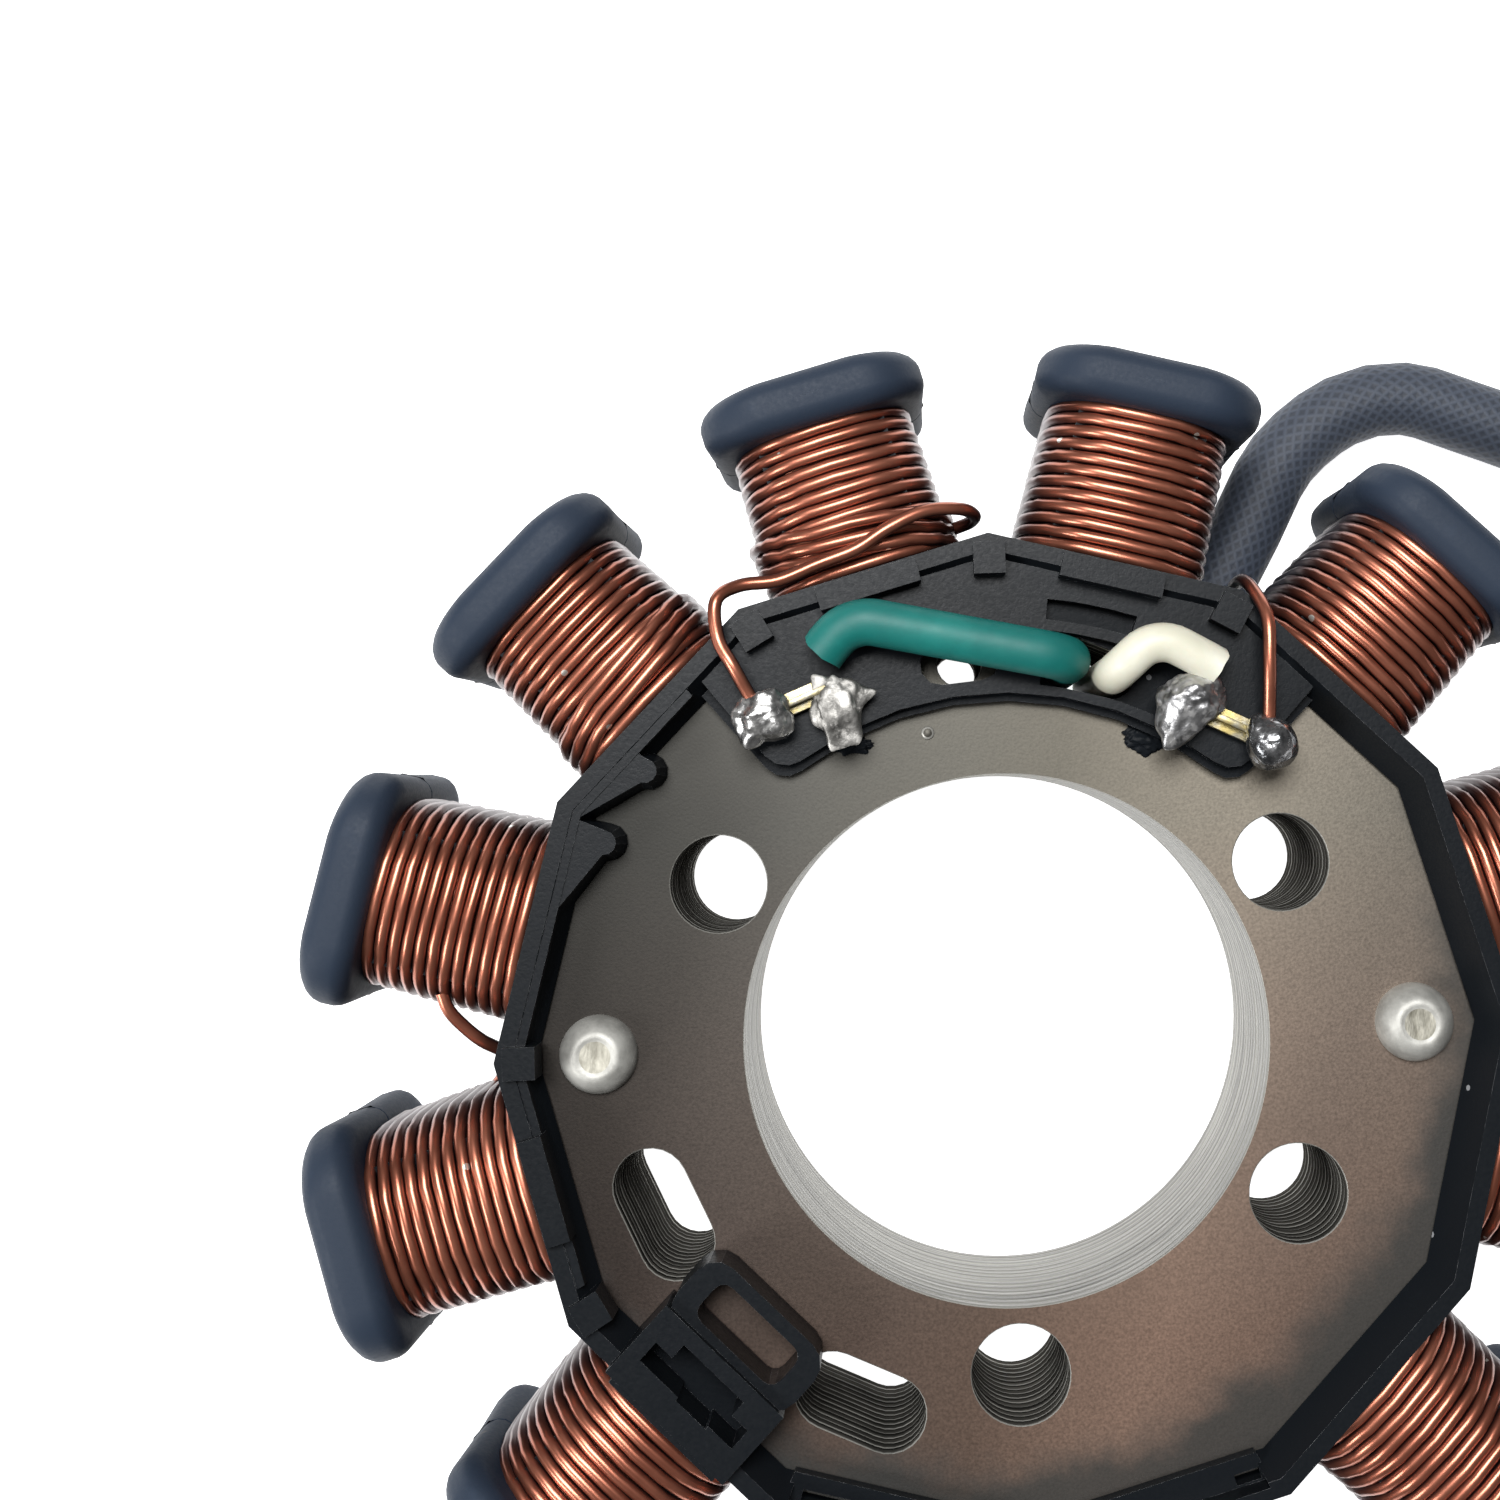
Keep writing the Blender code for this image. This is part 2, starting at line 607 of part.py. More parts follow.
def add_holder_block(bm):
    inner = HOLDER_FRAME_RADII[1] - WALL
    centre = polar((inner + RING_APOTHEM) / 2, HOLDER_ANGLE)
    size = (RING_APOTHEM - inner, HOLDER_WIDTH)
    add_box(bm, centre, size, STACK_FRONT + GAP, STACK_FRONT + HOLDER_BLOCK_RISE, HOLDER_ANGLE)


def add_holder_lip(bm):
    """The block's outer wall, which overhangs the root of its coil."""
    inner = HOLDER_POCKET_RADII[1]
    centre = polar((inner + HOLDER_BLOCK_OUTER) / 2, HOLDER_ANGLE)
    size = (HOLDER_BLOCK_OUTER - inner, HOLDER_WIDTH - 2 * WALL)
    add_box(bm, centre, size, STACK_FRONT + RING_RISE, STACK_FRONT + HOLDER_BLOCK_RISE - GAP, HOLDER_ANGLE)


def holder_pocket_outline():
    """The block's pocket, with a hook at each side of its neck and a bay in its outer wall."""
    inner, outer = HOLDER_POCKET_RADII
    half = HOLDER_POCKET_WIDTH / 2
    neck = HOLDER_NECK_WIDTH / 2
    hooks = inner + HOLDER_HOOK_DEPTH
    depth, width = HOLDER_BAY
    right = [(neck, inner), (neck, hooks), (half, hooks), (half, outer)]
    bay = [(0.75 * width, outer), (0.75 * width, outer + depth), (-0.25 * width, outer + depth), (-0.25 * width, outer)]
    left = [(-half, outer), (-half, hooks), (-neck, hooks), (-neck, inner)]
    outline = right + bay + left
    return [pole_point(HOLDER_ANGLE, radial, across) for across, radial in reversed(outline)]


def front_openings():
    """All that is open in the front insulator's plates and holder, as one cutter."""
    bm = bmesh.new()
    low = STACK_FRONT
    high = STACK_FRONT + 2 * HOLDER_BLOCK_RISE
    floor = STACK_FRONT + GAP + WALL
    window = polar(*WINDOW_POLAR)
    add_prism(bm, slot_outline(window, WINDOW_SIZE[1], WINDOW_SIZE[0], WINDOW_POLAR[1] + 90.0), low, high)
    add_prism(bm, sector_outline(*RECESS_RADII, *RECESS_ANGLES, steps=5), floor, high)
    add_prism(bm, sector_outline(*WIRE_SLOT_RADII, *WIRE_SLOT_ANGLES, steps=3), floor, high)
    view = holder_frame_outline(HOLDER_WINDOW_RADII, HOLDER_WINDOW_WIDTH, HOLDER_CORNER / 2)
    add_prism(bm, view, low, high)
    add_prism(bm, holder_pocket_outline(), floor, high)
    return add_object("cut_front_openings", bm, None, is_cutter=True)


def plate_lead_hole():
    """The leads' way through the floor of the plate's recess."""
    bm = bmesh.new()
    add_prism(bm, lead_hole_outline(), STACK_FRONT, STACK_FRONT + 2 * PLATE_RISE)
    return add_object("cut_plate_lead_hole", bm, None, is_cutter=True)


def build_front_insulator():
    insulator = build_insulator("front_insulator", 1)
    combine(insulator, foot_plate_cut(), "DIFFERENCE")
    additions = (
        ("plate_foot", add_plate_foot),
        ("plate_body", add_plate_body),
        ("bars", add_bars),
        ("lugs", add_lugs),
        ("ledge", add_ledge),
        ("gussets", add_gussets),
        ("foot_plate", add_foot_plate),
        ("holder_frame", add_holder_frame),
        ("holder_block", add_holder_block),
        ("holder_lip", add_holder_lip),
    )
    for label, add in additions:
        bm = bmesh.new()
        add(bm)
        combine(insulator, add_object(f"add_{label}", bm, None, is_cutter=True), "UNION")
    combine(insulator, stack_clearance(1), "DIFFERENCE")
    for cutter in (front_openings(), plate_lead_hole(), foot_slot_cut()):
        combine(insulator, cutter, "DIFFERENCE")


def build_rear_insulator():
    insulator = build_insulator("rear_insulator", -1)
    combine(insulator, stack_clearance(-1), "DIFFERENCE")
    notch = bmesh.new()
    reach = RING_APOTHEM + 2 * MM
    centre = polar(reach - BAR_SIZE[1] / 2, EXIT_ANGLE)
    add_box(notch, centre, (BAR_SIZE[1], EXIT_NOTCH_WIDTH), -MM, STACK_REAR - GAP, EXIT_ANGLE)
    combine(insulator, add_object("cut_lead_notch", notch, None, is_cutter=True), "DIFFERENCE")


def coil_half_size(share, ridge):
    """Half width and half height of a coil, share 0 at the hub and 1 at the flange."""
    growth = COIL_ROOT_GROWTH * (1 - share) + ridge
    half_width = pole_cover_half_width() + GAP + COIL_LAYERS + growth
    half_height = STACK_THICKNESS / 2 + pole_cover_rise() + GAP / 2 + COIL_LAYERS - GAP + ridge
    return half_width, half_height


def coil_ring(radial, half_width, half_height):
    """One eight-sided ring of a coil on a pole along +X."""
    cut = COIL_CORNER_SHARE * half_width
    ring = []
    for across, height in (
        (half_width, half_height - cut),
        (half_width - cut, half_height),
        (cut - half_width, half_height),
        (-half_width, half_height - cut),
        (-half_width, cut - half_height),
        (cut - half_width, -half_height),
        (half_width - cut, -half_height),
        (half_width, cut - half_height),
    ):
        ring.append((radial, across, height))
    return ring


def coil_mesh():
    """A winding around a pole along +X, with a ridge for each turn."""
    bm = bmesh.new()
    inner = RING_APOTHEM + GAP
    outer = FLANGE_INNER - GAP
    rings = []
    for k in range(2 * TURNS + 1):
        share = k / (2 * TURNS)
        ridge = RIDGE_DEPTH * (k % 2)
        size = coil_half_size(share, ridge - RIDGE_DEPTH)
        rings.append([bm.verts.new(p) for p in coil_ring(inner + share * (outer - inner), *size)])
    for low, high in zip(rings, rings[1:]):
        add_band(bm, low, high)
    half_width = pole_cover_half_width() + GAP
    half_height = STACK_THICKNESS / 2 + pole_cover_rise() + GAP
    inside = []
    for radial in (outer, inner):
        corners = [(half_width, half_height), (-half_width, half_height), (-half_width, -half_height),
                   (half_width, -half_height)]
        inside.append([bm.verts.new((radial, *corner)) for corner in corners])
    add_band(bm, inside[0], inside[1])
    for outside, hole in ((rings[-1], inside[0]), (rings[0], inside[1])):
        for k in range(4):
            bm.faces.new((outside[2 * k], outside[2 * k + 1], hole[k]))
            bm.faces.new((outside[2 * k + 1], outside[(2 * k + 2) % 8], hole[(k + 1) % 4], hole[k]))
    return bm


def build_coils():
    """Twelve windings that share one mesh."""
    first = None
    for k, axis in enumerate(pole_axes()):
        name = f"coil_{k + 1:02d}"
        if first is None:
            coil = add_object(name, coil_mesh(), copper())
            first = coil
        else:
            coil = bpy.data.objects.new(name, first.data)
            bpy.context.scene.collection.objects.link(coil)
        coil.location = (0.0, 0.0, MIDDLE)
        coil.rotation_euler = (0.0, 0.0, math.radians(axis))


def rivet_profile():
    """From the top of the domed head down through the stack to the flat rear head."""
    head = RIVET_HEAD_DIAMETER / 2
    shank = RIVET_SHANK_DIAMETER / 2
    base = STACK_FRONT + GAP
    top = STACK_FRONT + RIVET_HEAD_RISE
    rear = STACK_REAR - GAP
    return (
        (0.0, top - GAP),
        (0.38 * head, top - GAP),
        (0.46 * head, top),
        (0.80 * head, base + 0.66 * (top - base)),
        (0.97 * head, base + 0.25 * (top - base)),
        (head, base),
        (shank, base),
        (shank, rear),
        (0.9 * head, rear),
        (0.8 * head, rear - RIVET_REAR_RISE),
        (0.0, rear - RIVET_REAR_RISE),
    )


def build_rivets():
    for name, angle in (("rivet_right", 0.0), ("rivet_left", 180.0)):
        bm = bmesh.new()
        add_turned(bm, rivet_profile(), 12, polar(RIVET_CIRCLE_RADIUS, angle))
        add_object(name, bm, material("rivet_steel", (0.62, 0.61, 0.58), 0.35, 0.9))


def terminal_ends(side):
    lead_angle, wire_angle = TERMINAL_ANGLES[side]
    return polar(TERMINAL_RADIUS - MM, lead_angle), polar(TERMINAL_RADIUS, wire_angle)


def build_terminal(side):
    """A flat brass strip on the plate, under the two solder joints."""
    lead_end, wire_end = terminal_ends(side)
    middle = (lead_end + wire_end) / 2
    run = wire_end - lead_end
    heading = math.degrees(math.atan2(run.y, run.x))
    bm = bmesh.new()
    low = PLATE_TOP + GAP
    size = (run.length + TERMINAL_WIDTH, TERMINAL_WIDTH)
    add_box(bm, middle, size, low, low + TERMINAL_THICKNESS, heading)
    add_object(f"terminal_{side}", bm, brass())


def build_solder(name, centre):
    """A solder joint as a flat-bottomed drop on its terminal."""
    low = PLATE_TOP + 2 * GAP + TERMINAL_THICKNESS
    radius = SOLDER_WIDTH / 2
    profile = (
        (0.0, low),
        (0.8 * radius, low),
        (radius, low + 0.35 * SOLDER_RISE),
        (0.75 * radius, low + 0.8 * SOLDER_RISE),
        (0.0, low + SOLDER_RISE),
    )
    bm = bmesh.new()
    add_turned(bm, profile, 10, centre)
    add_object(name, bm, solder_metal())


def smooth_route(points, step):
    """Points about a step apart on a smooth curve through the route's own points."""
    points = [Vector(p) for p in points]
    ends = [2 * points[0] - points[1]] + points + [2 * points[-1] - points[-2]]
    route = []
    for before, start, end, after in zip(ends, ends[1:], ends[2:], ends[3:]):
        count = max(1, round((end - start).length / step))
        for k in range(count):
            t = k / count
            bend = (2 * before - 5 * start + 4 * end - after) * t * t
            twist = (3 * start - 3 * end + after - before) * t ** 3
            route.append((2 * start + (end - before) * t + bend + twist) / 2)
    return route + [points[-1]]


def bent_route(corners):
    """Straight runs between (point, bend radius) corners, with a round bend at each inner one."""
    places = [Vector(point) for point, radius in corners]
    route = [places[0]]
    for before, corner, after, (_, radius) in zip(places, places[1:], places[2:], corners[1:]):
        back = (before - corner).normalized()
        ahead = (after - corner).normalized()
        turn = math.pi - back.angle(ahead)
        run = radius * math.tan(turn / 2)
        centre = corner + (back + ahead).normalized() * (radius / math.cos(turn / 2))
        first = corner + back * run - centre
        last = corner + ahead * run - centre
        count = max(2, math.ceil(math.degrees(turn) / 20.0))
        for k in range(count + 1):
            share = turn * k / count
            route.append(centre + (first * math.sin(turn - share) + last * math.sin(share)) / math.sin(turn))
    return route + [places[-1]]


def build_tube(name, route, diameter, surface, resolution=2):
    """A cord, lead or wire as a curve with a round section and filled ends."""
    line = bpy.data.curves.new(name, "CURVE")
    line.dimensions = "3D"
    line.bevel_depth = diameter / 2
    line.bevel_resolution = resolution
    line.use_fill_caps = True
    spline = line.splines.new("POLY")
    spline.points.add(len(route) - 1)
    for point, at in zip(spline.points, route):
        point.co = (*at, 1.0)
    line.materials.append(surface)
    tube = bpy.data.objects.new(name, line)
    bpy.context.scene.collection.objects.link(tube)


def ring_corner_radius():
    return RING_APOTHEM / math.cos(math.radians(180.0 / POLES))


def winding_end_start(side, lug_angle, way):
    """The wire's points from its solder joint to the ring, beside a lug."""
    height = PLATE_TOP + 2 * GAP + TERMINAL_THICKNESS + 0.45 * SOLDER_RISE
    clear = SOLDER_WIDTH / 2 + GAP
    aside = LUG_SIZE[1] / 2 + WIRE_DIAMETER / 2 + 2 * GAP
    joint = terminal_ends(side)[1]
    over = polar(RING_APOTHEM, lug_angle) + polar(way * aside, lug_angle + 90.0)
    inward = (joint - over).normalized()
    stop = joint - inward * (clear + WIRE_DIAMETER / 2)
    return [(*stop, height), (*((over + stop) / 2), height + 2 * GAP), (*over, height + GAP)]


def build_winding_ends():
    """The right end dives between two coils, and the left one crosses the root of its coil."""
    outside = ring_corner_radius() + WIRE_DIAMETER / 2 + 2 * GAP
    between = polar(outside, 60.0)
    right = winding_end_start("right", 60.0, -1.0)
    right.append((*((between + Vector(right[-1][:2])) / 2), right[-1][2] - WIRE_DIAMETER))
    right += [(*between, STACK_FRONT + GAP), (*between, MIDDLE + FLANGE_RISE)]
    build_tube("winding_end_right", smooth_route(right, 1.3 * MM), WIRE_DIAMETER, copper(), 1)
    left = winding_end_start("left", 120.0, 1.0)
    on_coil = MIDDLE + coil_half_size(0.0, 0.0)[1] + WIRE_DIAMETER / 2 + 1.5 * GAP
    root = RING_APOTHEM + WIRE_DIAMETER
    beside = coil_half_size(0.0, 0.0)[0] + WIRE_DIAMETER / 2 + 1.5 * GAP
    left.append((*polar(outside, 121.5), left[-1][2]))
    left.append((*polar(outside + GAP / 2, 118.5), on_coil + GAP))
    for radial, across, height in (
        (root, 0.85 * beside, on_coil),
        (root + GAP, 0.5 * beside, on_coil),
        (root + 2 * GAP, 0.0, on_coil),
        (root + 1.6 * MM, -0.45 * beside, on_coil),
        (root + 1.6 * MM, -0.8 * beside, on_coil - MM),
        (root + 0.7 * MM, -1.05 * beside, on_coil - 2.6 * MM),
        (root + 0.7 * MM, -1.05 * beside, on_coil - 5.0 * MM),
    ):
        left.append((*pole_point(105.0, radial, across), height))
    build_tube("winding_end_left", smooth_route(left, 1.3 * MM), WIRE_DIAMETER, copper(), 1)


def build_winding_link():
    """The wire from one coil to the next, outside the ring's corner at the left."""
    beside = coil_half_size(0.0, 0.0)[0] + WIRE_DIAMETER / 2 + GAP
    corner = ring_corner_radius() + WIRE_DIAMETER / 2 + GAP
    height = STACK_FRONT - MM
    link = [
        (*pole_point(165.0, RING_APOTHEM + 3.8 * MM, beside), height),
        (*pole_point(165.0, RING_APOTHEM + 2.4 * MM, beside + GAP / 2), height - 0.5 * MM),
        (*polar(corner, 180.0), height - 3 * MM),
        (*pole_point(195.0, RING_APOTHEM + 2.4 * MM, -beside - GAP / 2), height - 5.5 * MM),
        (*pole_point(195.0, RING_APOTHEM + 3.8 * MM, -beside), height - 6 * MM),
    ]
    build_tube("winding_link", smooth_route(link, 1.1 * MM), WIRE_DIAMETER, copper(), 1)


def build_leads():
    """The green and the white lead, from their solder joints through the stack to the sleeve."""
    rear_z = STACK_REAR - GAP - GREEN_LEAD_DIAMETER / 2
    green_z = PLATE_TOP + 2 * GAP + GREEN_LEAD_DIAMETER / 2
    white_z = PLATE_TOP + 2 * GAP + WHITE_LEAD_DIAMETER / 2
    green_dive, white_dive = lead_dives()
    green_start = terminal_ends("left")[0] + polar(
        (SOLDER_WIDTH + GREEN_LEAD_DIAMETER + GAP) / 2, GREEN_LEAD_START)
    white_start = terminal_ends("right")[0] + polar(
        (SOLDER_WIDTH + WHITE_LEAD_DIAMETER) / 2 + GAP, WHITE_LEAD_START)
    mouth = polar(ring_corner_radius() + 2 * GAP, EXIT_ANGLE)
    green_end = mouth + polar(WHITE_LEAD_DIAMETER / 2 + GAP / 2, EXIT_ANGLE + 90.0)
    white_end = mouth - polar(GREEN_LEAD_DIAMETER / 2 + GAP / 2, EXIT_ANGLE + 90.0)
    across_ring = polar(ring_corner_radius() - RING_FOOT_APOTHEM + 3 * WALL, EXIT_ANGLE)
    green_bend = LEAD_BEND + GREEN_LEAD_DIAMETER / 2
    white_bend = LEAD_BEND + WHITE_LEAD_DIAMETER / 2
    green = (
        ((*green_start, green_z), 0.0),
        ((*GREEN_LEAD_BEND, green_z + LEAD_HUMP), GREEN_LEAD_BEND_RADIUS),
        ((*green_dive, green_z), green_bend),
        ((*green_dive, rear_z), green_bend),
        ((*pole_point(75.0, GREEN_REAR_BEND[1], GREEN_REAR_BEND[0]), rear_z), 1.7 * MM),
        ((*(green_end - across_ring), rear_z), green_bend),
        ((*green_end, FLOOR_CLEARANCE + GREEN_LEAD_DIAMETER / 2), 0.0),
    )
    white = (
        ((*white_start, white_z), 0.0),
        ((*WHITE_LEAD_BEND, white_z + LEAD_HUMP), WHITE_LEAD_BEND_RADIUS),
        ((*white_dive, white_z), white_bend),
        ((*white_dive, rear_z), white_bend),
        ((*(white_end - polar(WHITE_REAR_TURN, EXIT_ANGLE)), rear_z), white_bend),
        ((*white_end, FLOOR_CLEARANCE + WHITE_LEAD_DIAMETER / 2), 0.0),
    )
    green_surface = material("green_insulation", (0.0, 0.30, 0.26), 0.35)
    white_surface = material("white_insulation", (0.80, 0.79, 0.70), 0.4)
    build_tube("lead_green", bent_route(green), GREEN_LEAD_DIAMETER, green_surface)
    build_tube("lead_white", bent_route(white), WHITE_LEAD_DIAMETER, white_surface)


def sleeve_start_radius():
    return ring_corner_radius() + EXIT_REACH


def sleeve_height():
    return SLEEVE_DIAMETER / 2 + FLOOR_CLEARANCE


def stored_coil_half_width():
    return SLEEVE_DIAMETER / 2 + GAP


def build_harness():
    """The sleeve to its stored coil, the coil's outer shape, and the tail to the connector."""
    woven = material("woven_sleeve", (0.05, 0.055, 0.065), 0.7)
    z = sleeve_height()
    start = polar(sleeve_start_radius(), EXIT_ANGLE)
    beyond_tips = polar(TIP_RADIUS + 0.4 * MM, EXIT_ANGLE)
    clear = STORED_COIL_RADIUS + stored_coil_half_width() + SLEEVE_DIAMETER / 2 + GAP
    reach = math.sqrt(clear ** 2 - STORED_COIL_RADIUS ** 2)
    into = STORED_COIL_CENTRE + Vector((-reach, STORED_COIL_RADIUS))
    sleeve = [
        (*start, z),
        (*((start + beyond_tips) / 2), z),
        (*beyond_tips, z),
        (28.3 * MM, 44.4 * MM, z),
        (33.2 * MM, 45.2 * MM, z),
        (38.4 * MM, 43.4 * MM, z),
        (45.0 * MM, 41.0 * MM, z),
        (53.0 * MM, 40.0 * MM, z),
        (*into, z),
    ]
    build_tube("harness_sleeve", smooth_route(sleeve, 12 * MM), SLEEVE_DIAMETER, woven, 3)
    build_stored_coil(woven)
    upper = z + SLEEVE_DIAMETER
    plug = CONNECTOR_START
    behind_plug = plug - polar(8 * MM, CONNECTOR_HEADING)
    tail = [
        (80.4 * MM, 45.5 * MM, upper),
        (88.0 * MM, 53.0 * MM, upper - 2.2 * MM),
        (*behind_plug, z + 0.6 * MM),
        (*(plug - polar(GAP, CONNECTOR_HEADING)), z + 0.6 * MM),
    ]
    build_tube("harness_tail", smooth_route(tail, 9 * MM), SLEEVE_DIAMETER, woven, 3)


def build_stored_coil(surface):
    """The outer shape of the two turns that lie on each other."""
    half = stored_coil_half_width()
    low = FLOOR_CLEARANCE
    high = sleeve_height() + 1.5 * SLEEVE_DIAMETER
    edge = 0.5 * half
    profile = (
        (STORED_COIL_RADIUS + half - edge, low),
        (STORED_COIL_RADIUS + half, low + edge),
        (STORED_COIL_RADIUS + half, high - edge),
        (STORED_COIL_RADIUS + half - edge, high),
        (STORED_COIL_RADIUS - half + edge, high),
        (STORED_COIL_RADIUS - half, high - edge),
        (STORED_COIL_RADIUS - half, low + edge),
        (STORED_COIL_RADIUS - half + edge, low),
    )
    bm = bmesh.new()
    add_turned(bm, profile, 28, STORED_COIL_CENTRE)
    add_object("harness_coil", bm, surface)


def build_connector():
    """A plain two-way housing, open at its front, with a pin in each way."""
    length, width, height = CONNECTOR_SIZE
    middle = CONNECTOR_START + polar(length / 2, CONNECTOR_HEADING)
    bm = bmesh.new()
    low = FLOOR_CLEARANCE
    add_box(bm, middle, (length, width), low, low + height, CONNECTOR_HEADING)
    housing = add_object("connector_housing", bm, material("natural_nylon", (0.78, 0.77, 0.70), 0.45))
    cavity = bmesh.new()
    depth = 0.6 * length
    mouth = CONNECTOR_START + polar(length - depth / 2 + GAP, CONNECTOR_HEADING)
    wall = 2 * WALL
    add_box(cavity, mouth, (depth, width - 2 * wall), low + wall, low + height - wall, CONNECTOR_HEADING)
    combine(housing, add_object("cut_connector_mouth", cavity, None, is_cutter=True), "DIFFERENCE")
    pin = 1.6 * MM
    bottom = low + height / 2 - pin / 2
    for number, side in ((1, -1), (2, 1)):
        centre = mouth - polar(pin, CONNECTOR_HEADING) + polar(side * width / 4, CONNECTOR_HEADING + 90.0)
        blade = bmesh.new()
        add_box(blade, centre, (depth - 2 * pin - 2 * GAP, pin), bottom, bottom + pin, CONNECTOR_HEADING)
        add_object(f"connector_pin_{number}", blade, brass())


def build_part():
    clear_scene()
    build_core()
    build_front_insulator()
    build_rear_insulator()
    build_coils()
    build_rivets()
    for side in ("left", "right"):
        lead_end, wire_end = terminal_ends(side)
        build_terminal(side)
        build_solder(f"solder_lead_{side}", lead_end)
        build_solder(f"solder_winding_{side}", wire_end)
    build_winding_ends()
    build_winding_link()
    build_leads()
    build_harness()
    build_connector()


build_part()
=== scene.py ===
# %% [markdown]
# # Dressing a wound stator
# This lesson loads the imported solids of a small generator's stator and gives them the finish
# of the real one: punched steel, black moulding, glossy enamelled copper, solder and two leads.
# Lengths are in metres, with the stator's axis along Z and its front face up. Lists of places
# are in millimetres, where that reads more easily, and their comments say so.

# %% Load the frame
import math
import random

import bmesh
import bpy
from mathutils import Matrix, Vector, noise


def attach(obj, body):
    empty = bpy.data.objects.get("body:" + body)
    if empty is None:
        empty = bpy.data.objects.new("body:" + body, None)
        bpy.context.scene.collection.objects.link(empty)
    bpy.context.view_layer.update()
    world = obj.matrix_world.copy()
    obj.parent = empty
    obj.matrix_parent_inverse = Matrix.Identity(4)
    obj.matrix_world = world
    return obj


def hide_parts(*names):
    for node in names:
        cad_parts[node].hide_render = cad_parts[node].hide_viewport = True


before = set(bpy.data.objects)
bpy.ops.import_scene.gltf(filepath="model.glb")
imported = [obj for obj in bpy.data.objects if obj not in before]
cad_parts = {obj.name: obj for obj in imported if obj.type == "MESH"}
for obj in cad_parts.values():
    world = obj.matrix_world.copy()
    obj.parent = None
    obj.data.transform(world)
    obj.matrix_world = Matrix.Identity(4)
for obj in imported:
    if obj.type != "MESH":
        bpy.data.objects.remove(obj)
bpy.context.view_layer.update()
MM = 0.001
REAR_FACE = 4.0 * MM
FRONT_FACE = 19.0 * MM
MIDDLE = (REAR_FACE + FRONT_FACE) / 2

# %% [markdown]
# ## The camera
# The photograph was taken from straight above the upper part of the stator, close enough for
# the walls of the bore to show. The lens, the turn and the place were worked out from the
# circles of the bore and the holes. The picture was cropped off centre, so the lens is shifted
# instead of turned, which keeps the circles' shapes.

# %% Camera
IMAGE = 1500.0  # pixels, as the next two are
FOCAL = 1988.0
OPTICAL_CENTRE = (923.0, 612.0)
CAMERA_ANGLES = (-5.26, 0.40, 2.21)  # degrees about X, Y and Z
STATOR_SEEN_AT = Vector((5.6, -28.35, -132.41)) * MM


def linked(name, data):
    made = bpy.data.objects.new(name, data)
    bpy.context.scene.collection.objects.link(made)
    return made


def photo_camera():
    """A camera that sees the front face's centre where the photograph has it."""
    turn = Matrix.Identity(3)
    for angle, axis in zip(CAMERA_ANGLES, "XYZ"):
        turn = turn @ Matrix.Rotation(math.radians(angle), 3, axis)
    data = bpy.data.cameras.new("photo_camera")
    data.sensor_width = 36.0
    data.lens = FOCAL / IMAGE * data.sensor_width
    data.shift_x = (IMAGE / 2 - OPTICAL_CENTRE[0]) / IMAGE
    data.shift_y = (OPTICAL_CENTRE[1] - IMAGE / 2) / IMAGE
    data.clip_start = 5.0 * MM
    camera = linked("photo_camera", data)
    place = Vector((0.0, 0.0, FRONT_FACE)) - turn.transposed() @ STATOR_SEEN_AT
    camera.matrix_world = Matrix.Translation(place) @ turn.transposed().to_4x4()
    bpy.context.scene.camera = camera
    return place


print("camera at", photo_camera())

# %% [markdown]
# ## Floor and light
# A plain white floor stands in for the bare white background. The glossy wires need broad
# lights with dark between them, or their highlights would spread over the whole turn. The
# highlights on the real wires lie in two bands, so one soft panel hangs above and a weaker one
# stands low at the left, and the rest of the room stays dim.

# %% Floor and panels
FLOOR_REACH = 1.6
FLOOR_DROP = 0.2 * MM
ROOM_STRENGTH = 0.08
PANELS = (  # name, place, size, watts
    ("panel_above", (-0.05, 0.17, 0.50), (0.26, 0.20), 3.4),
    ("panel_left", (-0.46, -0.20, 0.36), (0.20, 0.20), 2.2),
)


def plain_mesh(bm, name):
    mesh = bpy.data.meshes.new(name)
    bm.to_mesh(mesh)
    bm.free()
    return mesh


def stage_floor():
    bm = bmesh.new()
    bmesh.ops.create_grid(bm, x_segments=1, y_segments=1, size=FLOOR_REACH)
    floor = linked("stage_floor", plain_mesh(bm, "stage_floor"))
    floor.location.z = -FLOOR_DROP
    white = bpy.data.materials.new("stage_white")
    white.use_nodes = True
    shader = white.node_tree.nodes["Principled BSDF"]
    shader.inputs["Base Color"].default_value = (0.93, 0.93, 0.93, 1.0)
    shader.inputs["Roughness"].default_value = 0.8
    shader.inputs["Emission Color"].default_value = (1.0, 1.0, 1.0, 1.0)
    shader.inputs["Emission Strength"].default_value = 1.0
    floor.data.materials.append(white)


def soft_panel(name, place, size, watts):
    """A rectangle of light that faces the stator."""
    lamp = bpy.data.lights.new(name, "AREA")
    lamp.shape = "RECTANGLE"
    lamp.size, lamp.size_y = size
    lamp.energy = watts
    panel = linked(name, lamp)
    panel.location = place
    panel.rotation_mode = "QUATERNION"
    panel.rotation_quaternion = (-Vector(place)).to_track_quat("-Z", "Y")


def dim_room():
    world = bpy.data.worlds.new("room")
    world.use_nodes = True
    background = world.node_tree.nodes["Background"]
    background.inputs["Color"].default_value = (1.0, 1.0, 1.0, 1.0)
    background.inputs["Strength"].default_value = ROOM_STRENGTH
    bpy.context.scene.world = world


stage_floor()
dim_room()
for panel in PANELS:
    soft_panel(*panel)
bpy.context.scene.view_settings.view_transform = "Standard"

# %% [markdown]
# ## Tools for meshes
# A few small helpers make most pieces. One turns a mesh into a piece that rides on the stator,
# one sweeps a round section along a path with a texture that follows it, and one gives an
# object's rounded edges as a plain mesh. The sweep carries its section along without twisting.

